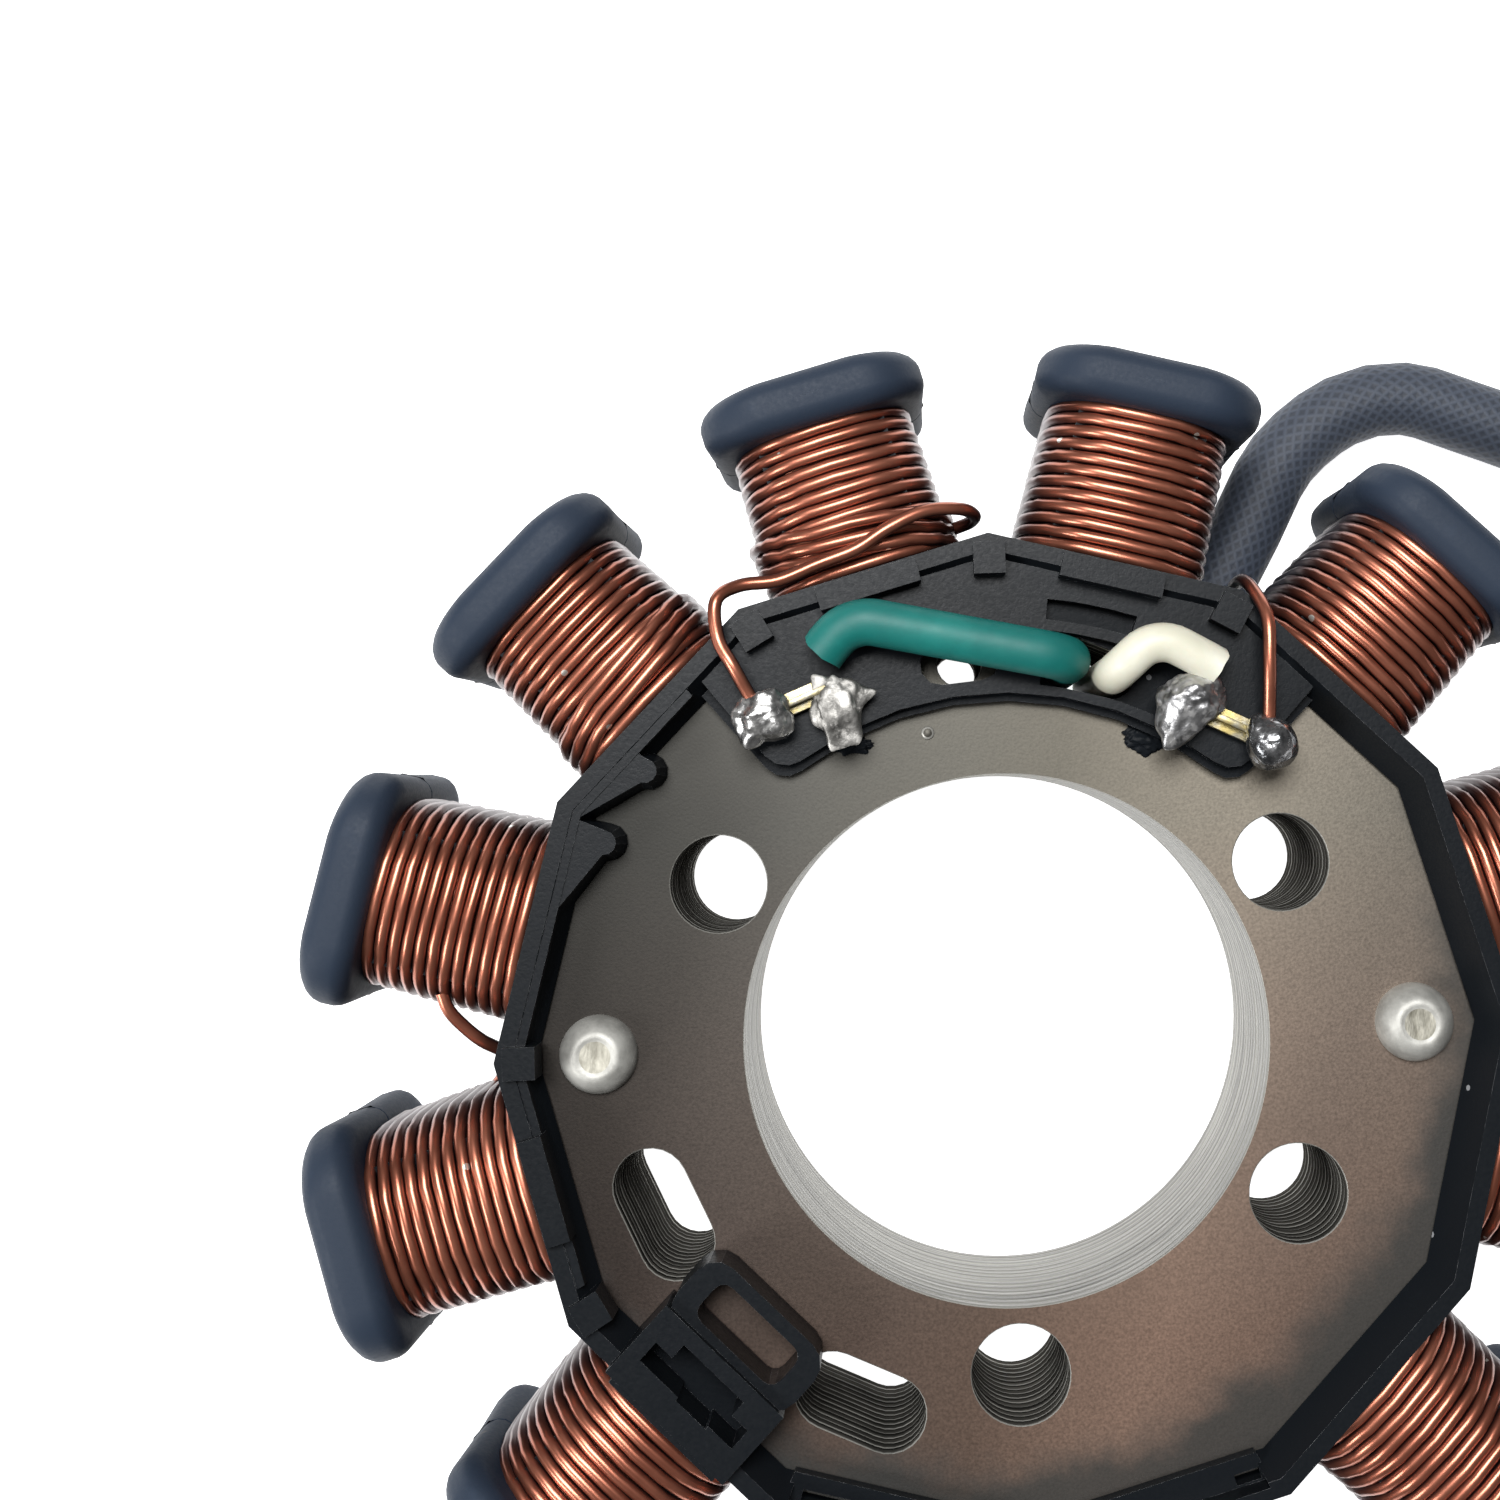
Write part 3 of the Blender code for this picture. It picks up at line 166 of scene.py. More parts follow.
# %% Mesh helpers
def polar(radius, degrees, height=0.0):
    angle = math.radians(degrees)
    return Vector((radius * math.cos(angle), radius * math.sin(angle), height))


def keep_piece(name, mesh, surface, *stands_for):
    """A finished mesh as a piece of the stator, in the place of the nodes that it stands for."""
    piece = linked(name, mesh)
    mesh.materials.clear()
    mesh.materials.append(surface)
    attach(piece, "root")
    if stands_for:
        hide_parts(*stands_for)
    return piece


def mesh_from(bm, name, smooth_angle=35.0):
    """A closed mesh with its normals outwards, smooth up to an angle in degrees."""
    bmesh.ops.remove_doubles(bm, verts=bm.verts, dist=0.002 * MM)
    bmesh.ops.recalc_face_normals(bm, faces=bm.faces)
    mesh = plain_mesh(bm, name)
    mesh.shade_smooth()
    mesh.set_sharp_from_angle(angle=math.radians(smooth_angle))
    return mesh


def evaluated(helper, name):
    """What an object's curve or modifiers make, as a plain mesh. The object itself goes."""
    graph = bpy.context.evaluated_depsgraph_get()
    made = bpy.data.meshes.new_from_object(helper.evaluated_get(graph))
    made.name = name
    bpy.data.objects.remove(helper)
    return made


def add_bevel(helper, width, angle):
    bevel = helper.modifiers.new("rounding", "BEVEL")
    bevel.width = width
    bevel.segments = 2
    bevel.limit_method = "ANGLE"
    bevel.angle_limit = math.radians(angle)
    return bevel


# %% Paths and tubes
def smooth_path(points, step):
    """Points about a step apart on a smooth curve through the given ones."""
    points = [Vector(p) for p in points]
    ends = [2 * points[0] - points[1]] + points + [2 * points[-1] - points[-2]]
    path = []
    for before, start, end, after in zip(ends, ends[1:], ends[2:], ends[3:]):
        count = max(1, round((end - start).length / step))
        for k in range(count):
            t = k / count
            bend = (2 * before - 5 * start + 4 * end - after) * t * t
            twist = (3 * start - 3 * end + after - before) * t ** 3
            path.append((2 * start + (end - before) * t + bend + twist) / 2)
    return path + [points[-1]]


def add_tube(bm, path, radius, sides):
    """A round tube with closed ends, its UV in millimetres along and turns around."""
    uv = bm.loops.layers.uv.verify()
    side = Vector((0.0, 0.0, 1.0))
    rings, run, length = [], [], 0.0
    for k, point in enumerate(path):
        ahead = path[min(k + 1, len(path) - 1)] - path[max(k - 1, 0)]
        ahead.normalize()
        side = (side - ahead * side.dot(ahead)).normalized()
        across = ahead.cross(side)
        ring = []
        for j in range(sides):
            turn = 2 * math.pi * j / sides
            offset = side * (math.cos(turn) * radius) + across * (math.sin(turn) * radius)
            ring.append(bm.verts.new(point + offset))
        rings.append(ring)
        length += (point - path[max(k - 1, 0)]).length
        run.append(length / MM)
    for k in range(len(rings) - 1):
        for j in range(sides):
            corners = ((k, j), (k, j + 1), (k + 1, j + 1), (k + 1, j))
            face = bm.faces.new([rings[along][around % sides] for along, around in corners])
            for loop, (along, around) in zip(face.loops, corners):
                loop[uv].uv = (run[along], around / sides)
    bm.faces.new(list(reversed(rings[0])))
    bm.faces.new(rings[-1])


print("mesh helpers ready")

# %% [markdown]
# ## Tools for node trees
# Materials and Geometry Nodes are wired the same way, so one helper adds a node and sets or
# links its inputs, and a few others stand for the nodes that come up most: sums, blends, ramps
# and a soft step. With them a tree reads like the sum that it works out.

# %% Node helpers
def feed(tree, socket, value):
    """Links a socket to another one, or sets its own value."""
    if isinstance(value, bpy.types.NodeSocket):
        tree.links.new(value, socket)
    else:
        socket.default_value = value


def set_inputs(tree, node, **values):
    """Feeds a node's inputs by name, with _ for a space."""
    for name, value in values.items():
        feed(tree, node.inputs[name.replace("_", " ")], value)


def add_node(tree, kind, settings=None, **values):
    made = tree.nodes.new(kind)
    for name, value in (settings or {}).items():
        setattr(made, name, value)
    set_inputs(tree, made, **values)
    return made


def maths(tree, operation, *values, clamp=False):
    made = add_node(tree, "ShaderNodeMath", {"operation": operation, "use_clamp": clamp})
    for socket, value in zip(made.inputs, values):
        feed(tree, socket, value)
    return made.outputs[0]


def vector_maths(tree, operation, *values):
    made = add_node(tree, "ShaderNodeVectorMath", {"operation": operation})
    for socket, value in zip(made.inputs, values):
        feed(tree, socket, value)
    return made.outputs["Value" if operation == "LENGTH" else "Vector"]


def split(tree, vector):
    return add_node(tree, "ShaderNodeSeparateXYZ", Vector=vector).outputs


def object_place(tree):
    return add_node(tree, "ShaderNodeTexCoord").outputs["Object"]


def soft_step(tree, value, least, most):
    """0 up to the least value, 1 from the most on, and a smooth rise between them."""
    return add_node(
        tree, "ShaderNodeMapRange", {"interpolation_type": "SMOOTHSTEP"},
        Value=value, From_Min=least, From_Max=most,
    ).outputs[0]


# %% Colour helpers
def blend_colours(tree, share, first, second, way="MIX"):
    """Two colours, as sockets or (red, green, blue), mixed by a share."""
    made = add_node(tree, "ShaderNodeMix", {"data_type": "RGBA", "blend_type": way})
    feed(tree, made.inputs["Factor"], share)
    for socket, colour in zip(made.inputs[6:8], (first, second)):
        feed(tree, socket, (*colour, 1.0) if isinstance(colour, tuple) else colour)
    return made.outputs[2]


def shades(tree, share, stops):
    """A colour ramp from a list of (place, colour)."""
    ramp = add_node(tree, "ShaderNodeValToRGB", Fac=share)
    elements = ramp.color_ramp.elements
    while len(elements) < len(stops):
        elements.new(0.5)
    for element, (place, colour) in zip(elements, stops):
        element.position = place
        element.color = (*colour, 1.0)
    return ramp.outputs["Color"]


# %% Groups and materials
def new_group(name, inputs, outputs, kind="ShaderNodeTree"):
    """An empty node group with named sockets, and its input and output nodes."""
    group = bpy.data.node_groups.new(name, kind)
    for label, socket_type, value in inputs:
        socket = group.interface.new_socket(label, in_out="INPUT", socket_type=socket_type)
        if value is not None:
            socket.default_value = value
    for label, socket_type in outputs:
        group.interface.new_socket(label, in_out="OUTPUT", socket_type=socket_type)
    return group, group.nodes.new("NodeGroupInput"), group.nodes.new("NodeGroupOutput")


def new_material(name):
    made = bpy.data.materials.new(name)
    made.use_nodes = True
    return made, made.node_tree, made.node_tree.nodes["Principled BSDF"]


print("node helpers ready")

# %% [markdown]
# ## Shared surface effects
# Almost every finish here has a fine grain under it, patches of dirt or wear over it, and now
# and then a bright speck of dust. Each effect is one group with its own scale and strength, so
# that steel, moulding, copper and solder use the same rule with other values.

# %% Grain, patches and specks
def build_grain():
    group, given, result = new_group(
        "grain",
        [
            ("Scale", "NodeSocketFloat", 2000.0),
            ("Height", "NodeSocketFloat", 0.03 * MM),
            ("Stretch", "NodeSocketVector", (1, 1, 1)),
        ],
        [("Amount", "NodeSocketFloat"), ("Normal", "NodeSocketVector")],
    )
    stretched = vector_maths(group, "MULTIPLY", object_place(group), given.outputs["Stretch"])
    grit = add_node(
        group, "ShaderNodeTexNoise",
        Vector=stretched, Scale=given.outputs["Scale"], Detail=3.0, Roughness=0.6,
    ).outputs[0]
    bump = add_node(group, "ShaderNodeBump", Height=grit, Distance=given.outputs["Height"])
    set_inputs(group, result, Amount=grit, Normal=bump.outputs[0])
    return group


def build_patches():
    group, given, result = new_group(
        "patches",
        [
            ("Scale", "NodeSocketFloat", 100.0),
            ("Least", "NodeSocketFloat", 0.4),
            ("Most", "NodeSocketFloat", 0.6),
        ],
        [("Mask", "NodeSocketFloat")],
    )
    cloud = add_node(
        group, "ShaderNodeTexNoise",
        Vector=object_place(group), Scale=given.outputs["Scale"], Detail=6.0, Roughness=0.62,
    ).outputs[0]
    mask = soft_step(group, cloud, given.outputs["Least"], given.outputs["Most"])
    set_inputs(group, result, Mask=mask)
    return group


def build_specks():
    """A mask of rare small dots, one in a few of the cells of a Voronoi pattern."""
    group, given, result = new_group(
        "specks",
        [
            ("Scale", "NodeSocketFloat", 400.0),
            ("Size", "NodeSocketFloat", 0.08),
            ("Share", "NodeSocketFloat", 0.3),
        ],
        [("Mask", "NodeSocketFloat")],
    )
    cells = add_node(
        group, "ShaderNodeTexVoronoi", Vector=object_place(group), Scale=given.outputs["Scale"])
    near = maths(group, "LESS_THAN", cells.outputs["Distance"], given.outputs["Size"])
    draw = split(group, cells.outputs["Color"])[0]
    chosen = maths(group, "LESS_THAN", draw, given.outputs["Share"])
    set_inputs(group, result, Mask=maths(group, "MULTIPLY", near, chosen))
    return group


GRAIN = build_grain()
PATCHES = build_patches()
SPECKS = build_specks()


# %% Placing the effects
def effect(tree, group, **values):
    return add_node(tree, "ShaderNodeGroup", {"node_tree": group}, **values).outputs


def grain(tree, scale, height, stretch=(1.0, 1.0, 1.0)):
    """The amount of grain and its normal, from its scale and its height in metres."""
    return tuple(effect(tree, GRAIN, Scale=scale, Height=height, Stretch=stretch))


def patches(tree, scale, least, most):
    return effect(tree, PATCHES, Scale=scale, Least=least, Most=most)["Mask"]


def specks(tree, scale, size, share):
    return effect(tree, SPECKS, Scale=scale, Size=size, Share=share)["Mask"]


print("groups", GRAIN.name, PATCHES.name, SPECKS.name)

# %% [markdown]
# ## The woven sleeve
# Both leads leave between two poles in a braided sleeve. The photograph shows some 25 mm of
# it, and such a lead is about half a metre long, so the rest lies in a neat coil just outside
# the view. The route repeats the points of the solids, and the braid is a bump on the tube's
# own UV, where two sets of slanted strands cross.

# %% Sleeve route
SLEEVE = 5.6 * MM
SLEEVE_Z = SLEEVE / 2 + 0.1 * MM
SLEEVE_HEADING = 60.0
SLEEVE_EXIT = polar(34.943 * MM, SLEEVE_HEADING, SLEEVE_Z)
TIPS_PASSED = polar(47.2 * MM, SLEEVE_HEADING, SLEEVE_Z)
WAY_TO_COIL = (  # millimetres, as the other two lists of places are
    (28.3, 44.4), (33.2, 45.2), (38.4, 43.4), (45.0, 41.0), (53.0, 40.0), (61.7, 40.0),
    (72.0, 40.0))
COIL_CENTRE = Vector((82.0, 10.0, 0.0)) * MM
COIL_RADIUS = 30.0 * MM
COIL_TURN, COIL_STEP = 684, 12  # degrees
RISE_FROM, RISE_OVER = 296.0, 70.0  # degrees, where the second turn climbs on the first
WAY_TO_PLUG = ((72.2, 40.0, 8.5), (80.4, 45.7, 8.4), (88.0, 53.0, 6.3), (96.07, 61.0, 3.7))
PLUG = Vector((103.0, 65.0, 3.5)) * MM


def sleeve_route():
    """From the stator to the stored coil, nearly two turns round it, and on to the plug."""
    route = [SLEEVE_EXIT, (SLEEVE_EXIT + TIPS_PASSED) / 2, TIPS_PASSED]
    route += [Vector((x * MM, y * MM, SLEEVE_Z)) for x, y in WAY_TO_COIL]
    for turned in range(0, COIL_TURN + 1, COIL_STEP):
        rise = min(max((turned - RISE_FROM) / RISE_OVER, 0.0), 1.0)
        lift = SLEEVE * rise * rise * (3 - 2 * rise)
        route.append(COIL_CENTRE + polar(COIL_RADIUS, 90.0 - turned, SLEEVE_Z + lift))
    route += [Vector(place) * MM for place in WAY_TO_PLUG]
    return smooth_path(route + [PLUG - polar(0.3 * MM, 30.0)], 2.0 * MM)


SLEEVE_PATH = sleeve_route()

# %% Sleeve finish and piece
STRANDS = 20
STRAND_SLANT = 6.0  # radians in each millimetre along the sleeve


def woven_sleeve():
    made, tree, shader = new_material("woven_sleeve")
    along, around, _ = split(tree, add_node(tree, "ShaderNodeUVMap").outputs[0])
    turned = maths(tree, "MULTIPLY", around, 2 * math.pi * STRANDS)
    strands = []
    for way in (1.0, -1.0):
        slant = maths(tree, "MULTIPLY_ADD", along, way * STRAND_SLANT, turned)
        strands.append(maths(tree, "MULTIPLY_ADD", maths(tree, "SINE", slant), 0.5, 0.5))
    braid = maths(tree, "MAXIMUM", *strands)
    bump = add_node(tree, "ShaderNodeBump", Height=braid, Distance=0.08 * MM, Strength=0.4)
    # Painted shade: the grooves between the strands are darker and the raised crossings lighter.
    colour = shades(tree, braid, [(0.35, (0.028, 0.035, 0.050)), (1.0, (0.052, 0.064, 0.090))])
    set_inputs(tree, shader, Base_Color=colour, Normal=bump.outputs[0], Roughness=0.62)
    return made


WOVEN = woven_sleeve()


def build_sleeve():
    bm = bmesh.new()
    add_tube(bm, SLEEVE_PATH, SLEEVE / 2, 20)
    sleeve = keep_piece(
        "sleeve", mesh_from(bm, "sleeve"), WOVEN, "harness_sleeve", "harness_coil", "harness_tail")
    return sleeve


print("sleeve faces", len(build_sleeve().data.polygons))

# %% [markdown]
# ## The laminations
# The stack is about fifteen punched sheets. One sheet is a flat curve with holes, filled and
# given a thickness and a small bevel, because a curve fills round its holes by itself. Geometry
# Nodes then stack it, and shift each sheet a hair sideways against the next as riveting does, so
# that the joints show as lines in the bore. The thin bevel catches the light along the rim of
# each hole, and the steel's finish also paints a highlight colour onto it.

# %% Sizes of a sheet
POLES = 12
FIRST_POLE = 15.0
HALF_PITCH = 180.0 / POLES
POLE_ANGLES = [FIRST_POLE + 2 * HALF_PITCH * k for k in range(POLES)]
BORE = 17.5 * MM
HUB_FLAT = 31.4 * MM
SHOE_BACK = 44.0 * MM
TIP = 46.8 * MM
LIMB_HALF = 3.6 * MM
SHOE_HALF = 6.9 * MM
SHOE_SWEEP = 8.48  # degrees either way
BOLT_CIRCLE, BOLT_HOLE = 21.8 * MM, 3.25 * MM
BOLT_ANGLES = (30.0, 150.0, 270.0, 330.0)
SLOT_CIRCLE, SLOT_LENGTH, SLOT_WIDTH = 25.43 * MM, 8.95 * MM, 4.95 * MM
SLOT_ANGLES = (204.6, 245.4)
PLATE_HOLE = (polar(25.1 * MM, 95.0), 1.5 * MM)
GREEN_END_OF_HOLE = (polar(25.35 * MM, 78.69), 1.85 * MM)
WHITE_END_OF_HOLE = (polar(25.10 * MM, 71.5), 1.6 * MM)
SHEETS = 15
SHEET_PITCH = 1.0 * MM
SHEET_BEVEL = 0.06 * MM
SHEET_EXTRUDE = 0.435 * MM  # either way, to which the bevel adds


# %% Outlines
def along_pole(angle, radial, across):
    return polar(radial, angle) + polar(across, angle + 90.0)


def sheet_outline():
    """For each pole, the corner before it, its limb and shoe outwards, its tip and the way back."""
    limb = ((HUB_FLAT, LIMB_HALF), (SHOE_BACK, LIMB_HALF), (SHOE_BACK, SHOE_HALF))
    points = []
    for angle in POLE_ANGLES:
        corner = HUB_FLAT / math.cos(math.radians(HALF_PITCH))
        points.append(polar(corner, angle - HALF_PITCH))
        points += [along_pole(angle, radial, -across) for radial, across in limb]
        points += [polar(TIP, angle + SHOE_SWEEP * (k / 4 - 1)) for k in range(9)]
        points += [along_pole(angle, radial, across) for radial, across in reversed(limb)]
    return points


def slot_shape(centre, length, width, heading, steps=12):
    reach = polar((length - width) / 2, heading)
    ends = []
    for middle, start in ((centre + reach, heading - 90.0), (centre - reach, heading + 90.0)):
        ends += [middle + polar(width / 2, start + 180.0 * k / steps) for k in range(steps + 1)]
    return ends


def circle_shape(centre, radius, steps):
    return [centre + polar(radius, 360.0 * k / steps) for k in range(steps)]


def hull_shape(first, first_radius, second, second_radius, steps=14):
    """The outline round two circles of different radius."""
    run = second - first
    heading = math.degrees(math.atan2(run.y, run.x))
    side = math.degrees(math.acos((first_radius - second_radius) / run.length))
    back = 360.0 - 2 * side
    points = []
    for k in range(steps + 1):
        points.append(second + polar(second_radius, heading + side * (2 * k / steps - 1)))
    for k in range(steps + 1):
        points.append(first + polar(first_radius, heading + side + back * k / steps))
    return points


def sheet_holes():
    holes = [circle_shape(Vector((0, 0, 0)), BORE, 128)]
    holes += [circle_shape(polar(BOLT_CIRCLE, angle), BOLT_HOLE, 40) for angle in BOLT_ANGLES]
    for angle in SLOT_ANGLES:
        holes.append(slot_shape(polar(SLOT_CIRCLE, angle), SLOT_LENGTH, SLOT_WIDTH, angle + 90.0))
    holes.append(circle_shape(*PLATE_HOLE, 20))
    holes.append(hull_shape(*GREEN_END_OF_HOLE, *WHITE_END_OF_HOLE))
    return holes


# %% One sheet
def sheet_mesh():
    data = bpy.data.curves.new("sheet", "CURVE")
    data.dimensions = "2D"
    data.fill_mode = "BOTH"
    data.extrude = SHEET_EXTRUDE
    data.bevel_depth = SHEET_BEVEL
    data.bevel_resolution = 0
    data.offset = -SHEET_BEVEL
    for shape in [sheet_outline()] + sheet_holes():
        spline = data.splines.new("POLY")
        spline.points.add(len(shape) - 1)
        for point, at in zip(spline.points, shape):
            point.co = (at.x, at.y, 0.0, 1.0)
        spline.use_cyclic_u = True
    return evaluated(linked("sheet", data), "sheet")


SHEET = sheet_mesh()
print("sheet vertices", len(SHEET.vertices))

# %% Running and closing a tree
def run_tree(name, group, values, source=None):
    """Runs a Geometry Nodes tree on a mesh and gives the plain mesh that it makes."""
    carrier = linked(name, source or bpy.data.meshes.new(name))
    step = carrier.modifiers.new(name, "NODES")
    step.node_group = group
    for item in group.interface.items_tree:
        if item.in_out == "INPUT" and item.name in values:
            step[item.identifier] = values[item.name]
    return evaluated(carrier, name)


def close_tree(group, given, result, geometry):
    """Makes instances real, gives them the finish and hands them out."""
    real = add_node(group, "GeometryNodeRealizeInstances", Geometry=geometry)
    painted = add_node(
        group, "GeometryNodeSetMaterial",
        Geometry=real.outputs[0], Material=given.outputs["Finish"],
    )
    set_inputs(group, result, Geometry=painted.outputs[0])
    return group


# %% Stacking tree
def sheet_stack_tree():
    """Sheets one above the other, each slipped sideways by up to the slip."""
    group, given, result = new_group(
        "sheet_stack",
        [
            ("Geometry", "NodeSocketGeometry", None),
            ("Sheets", "NodeSocketInt", SHEETS),
            ("Pitch", "NodeSocketFloat", SHEET_PITCH),
            ("Slip", "NodeSocketFloat", 0.03 * MM),
            ("Seed", "NodeSocketInt", 3),
            ("Finish", "NodeSocketMaterial", None),
        ],
        [("Geometry", "NodeSocketGeometry")],
        "GeometryNodeTree",
    )
    rise = add_node(group, "ShaderNodeCombineXYZ", Z=given.outputs["Pitch"])
    line = add_node(
        group, "GeometryNodeMeshLine", Count=given.outputs["Sheets"], Offset=rise.outputs[0])
    ahead = given.outputs["Slip"]
    back = maths(group, "MULTIPLY", ahead, -1.0)
    slip = add_node(
        group, "FunctionNodeRandomValue", {"data_type": "FLOAT_VECTOR"},
        Min=add_node(group, "ShaderNodeCombineXYZ", X=back, Y=back).outputs[0],
        Max=add_node(group, "ShaderNodeCombineXYZ", X=ahead, Y=ahead).outputs[0],
        Seed=given.outputs["Seed"],
    )
    moved = add_node(
        group, "GeometryNodeSetPosition", Geometry=line.outputs[0], Offset=slip.outputs[0])
    placed = add_node(
        group, "GeometryNodeInstanceOnPoints",
        Points=moved.outputs[0], Instance=given.outputs["Geometry"],
    )
    return close_tree(group, given, result, placed.outputs[0])


SHEET_STACK = sheet_stack_tree()
print("tree", SHEET_STACK.name)

# %% [markdown]
# ## Punched steel
# The face of the stack has a fine sandy grain, and its colour carries painted reflection: dark
# grey at the left, olive towards the top and warm brown towards the lower right. Black lacquer
# drifted onto it beside the moulding at the right and below. The bore is bare and scored, while
# the walls of the holes are darkened with painted shade, and their punched rims carry a painted
# highlight. All of it hangs on the place on the stator, so one material serves the face, the rims
# and the walls, which the normal tells apart.

# %% Tones of the face
# Painted reflection: the face's colour is darker at the left and lighter at the right.
STEEL_PAINTED_REFLECTION = [  # from the left to the right
    (0.0, (0.020, 0.021, 0.022)),
    (0.10, (0.034, 0.035, 0.037)),
    (0.20, (0.060, 0.062, 0.066)),
    (0.40, (0.093, 0.094, 0.096)),
    (0.52, (0.110, 0.108, 0.106)),
    (0.72, (0.215, 0.205, 0.200)),
    (0.88, (0.160, 0.155, 0.155)),
]
# Painted reflection too: warmer and browner towards the lower side.
STEEL_PAINTED_REFLECTION_TINTS = [(0.0, (1.0, 0.68, 0.52)), (0.5, (1.0, 0.80, 0.64)), (0.85, (0.84, 0.78, 0.64))]
TONES_SPAN = 60.0 * MM
TINTS_SPAN = 40.0 * MM


def unsteady(tree, place, swing, scale, detail, rough):
    """Soft noise about zero, of half a swing at most either way."""
    cloud = add_node(
        tree, "ShaderNodeTexNoise", Vector=place, Scale=scale, Detail=detail, Roughness=rough)
    return maths(tree, "MULTIPLY", maths(tree, "SUBTRACT", cloud.outputs[0], 0.5), swing)


def face_colour_with_painted_reflection(tree, place):
    """Painted reflection: dark at the left and light at the right, browner towards the lower side,
    a bit cloudy.
    """
    x, y, _ = split(tree, place)
    lean = maths(tree, "MULTIPLY_ADD", y, -0.2, x)
    drift = unsteady(tree, place, 0.16, 45.0, 3.0, 0.5)
    even = maths(tree, "MULTIPLY_ADD", lean, 1 / TONES_SPAN, 0.5)
    tone = shades(tree, maths(tree, "ADD", even, drift, clamp=True), STEEL_PAINTED_REFLECTION)
    rise = maths(tree, "MULTIPLY_ADD", y, 1 / TINTS_SPAN, 0.5, clamp=True)
    return blend_colours(tree, 1.0, tone, shades(tree, rise, STEEL_PAINTED_REFLECTION_TINTS), "MULTIPLY")


# %% Lacquer and cut walls
LACQUER = (0.016, 0.0175, 0.016)
LACQUER_FROM, LACQUER_FULL = 29.4 * MM, 33.9 * MM
LACQUER_RAGGED = 7.0 * MM
LACQUER_LEAN = 0.17
LACQUER_SIDE = (0.50, -0.86)  # the way in which it reaches in furthest
BORE_WALL = 18.2 * MM
SCORES = (90.0, 90.0, 3200.0)
# Painted shade on the walls of the narrow holes, darker than the bore's bare wall.
PAINTED_SHADE_HOLE_WALL = [(0.35, (0.030, 0.029, 0.026)), (0.65, (0.095, 0.090, 0.080))]
BARE = [(0.30, (0.050, 0.048, 0.043)), (0.70, (0.29, 0.285, 0.262))]
# Painted highlight on the punched rims of the holes and the bore.
PAINTED_RIM_HIGHLIGHT = (0.55, 0.54, 0.50)


def reach_from_axis(tree, place):
    x, y, _ = split(tree, place)
    flat = add_node(tree, "ShaderNodeCombineXYZ", X=x, Y=y)
    return vector_maths(tree, "LENGTH", flat.outputs[0])


def lacquer_mask(tree, place):
    """Black lacquer near the ring's flats on the right and the lower side, fading inwards."""
    x, y, _ = split(tree, place)
    to_right = maths(tree, "MULTIPLY", x, LACQUER_SIDE[0])
    side = maths(tree, "MULTIPLY_ADD", y, LACQUER_SIDE[1], to_right)
    reach = maths(tree, "MULTIPLY_ADD", side, LACQUER_LEAN, reach_from_axis(tree, place))
    ragged = unsteady(tree, place, LACQUER_RAGGED, 170.0, 4.0, 0.6)
    return soft_step(tree, maths(tree, "ADD", reach, ragged), LACQUER_FROM, LACQUER_FULL)


def upward(tree, least, most):
    """1 where a surface looks up and 0 where it stands upright or looks down."""
    normal = add_node(tree, "ShaderNodeNewGeometry").outputs["Normal"]
    return soft_step(tree, split(tree, normal)[2], least, most)


def cut_wall(tree, place):
    """The tone of the cut walls, with painted shade in the holes, and a mask of the bore's, which
    is bare.
    """
    bore = maths(tree, "LESS_THAN", reach_from_axis(tree, place), BORE_WALL)
    lines = vector_maths(tree, "MULTIPLY", place, SCORES)
    scored = add_node(tree, "ShaderNodeTexNoise", Vector=lines, Scale=1.0, Detail=4.0).outputs[0]
    return blend_colours(tree, bore, shades(tree, scored, PAINTED_SHADE_HOLE_WALL), shades(tree, scored, BARE)), bore


# %% Steel finish
def punched_steel():
    made, tree, shader = new_material("punched_steel")
    place = object_place(tree)
    amount, normal = grain(tree, 5200.0, 0.008 * MM)
    sand = shades(tree, amount, [(0.30, (0.40, 0.40, 0.40)), (0.70, (0.60, 0.60, 0.60))])
    face = blend_colours(tree, 1.0, face_colour_with_painted_reflection(tree, place), sand, "OVERLAY")
    level = upward(tree, 0.85, 0.95)
    # The bevelled rims get the painted highlight colour.
    rim = maths(tree, "SUBTRACT", upward(tree, 0.3, 0.5), level)
    wall, bore = cut_wall(tree, place)
    bare = blend_colours(tree, level, blend_colours(tree, rim, wall, PAINTED_RIM_HIGHLIGHT), face)
    lacquer = maths(tree, "MULTIPLY", lacquer_mask(tree, place), 0.92)
    clean = maths(tree, "MAXIMUM", maths(tree, "MAXIMUM", level, rim), bore)
    shine = maths(tree, "MULTIPLY", clean, 0.7)
    set_inputs(
        tree, shader,
        Base_Color=blend_colours(tree, lacquer, bare, LACQUER),
        Metallic=maths(tree, "MULTIPLY", maths(tree, "SUBTRACT", 1.0, lacquer), shine),
        Specular_IOR_Level=maths(tree, "MULTIPLY", shine, 0.7),
        Roughness=maths(tree, "MULTIPLY_ADD", amount, 0.2, 0.38),
        Normal=normal,
    )
    return made


STEEL = punched_steel()


def build_sheets():
    values = {
        "Sheets": SHEETS, "Pitch": SHEET_PITCH, "Slip": 0.018 * MM, "Seed": 3, "Finish": STEEL}
    stack = run_tree("sheets", SHEET_STACK, values, SHEET)
    stack.transform(Matrix.Translation((0.0, 0.0, REAR_FACE + SHEET_PITCH / 2)))
    return keep_piece("sheets", stack, STEEL, "core_stack")


print("sheet stack faces", len(build_sheets().data.polygons))

# %% [markdown]
# ## The windings
# Each pole carries about two dozen turns of enamelled copper in two layers. A turn is a rounded
# rectangle that moves one wire on at the back of the pole, so that the turns in view lie side by
# side. Geometry Nodes bend a straight line into that shape from the number of each point, with a
# slow noise so that no two coils are alike. On two poles a third, short run of the same tree
# lies over the others, where the photograph shows turns that cross.

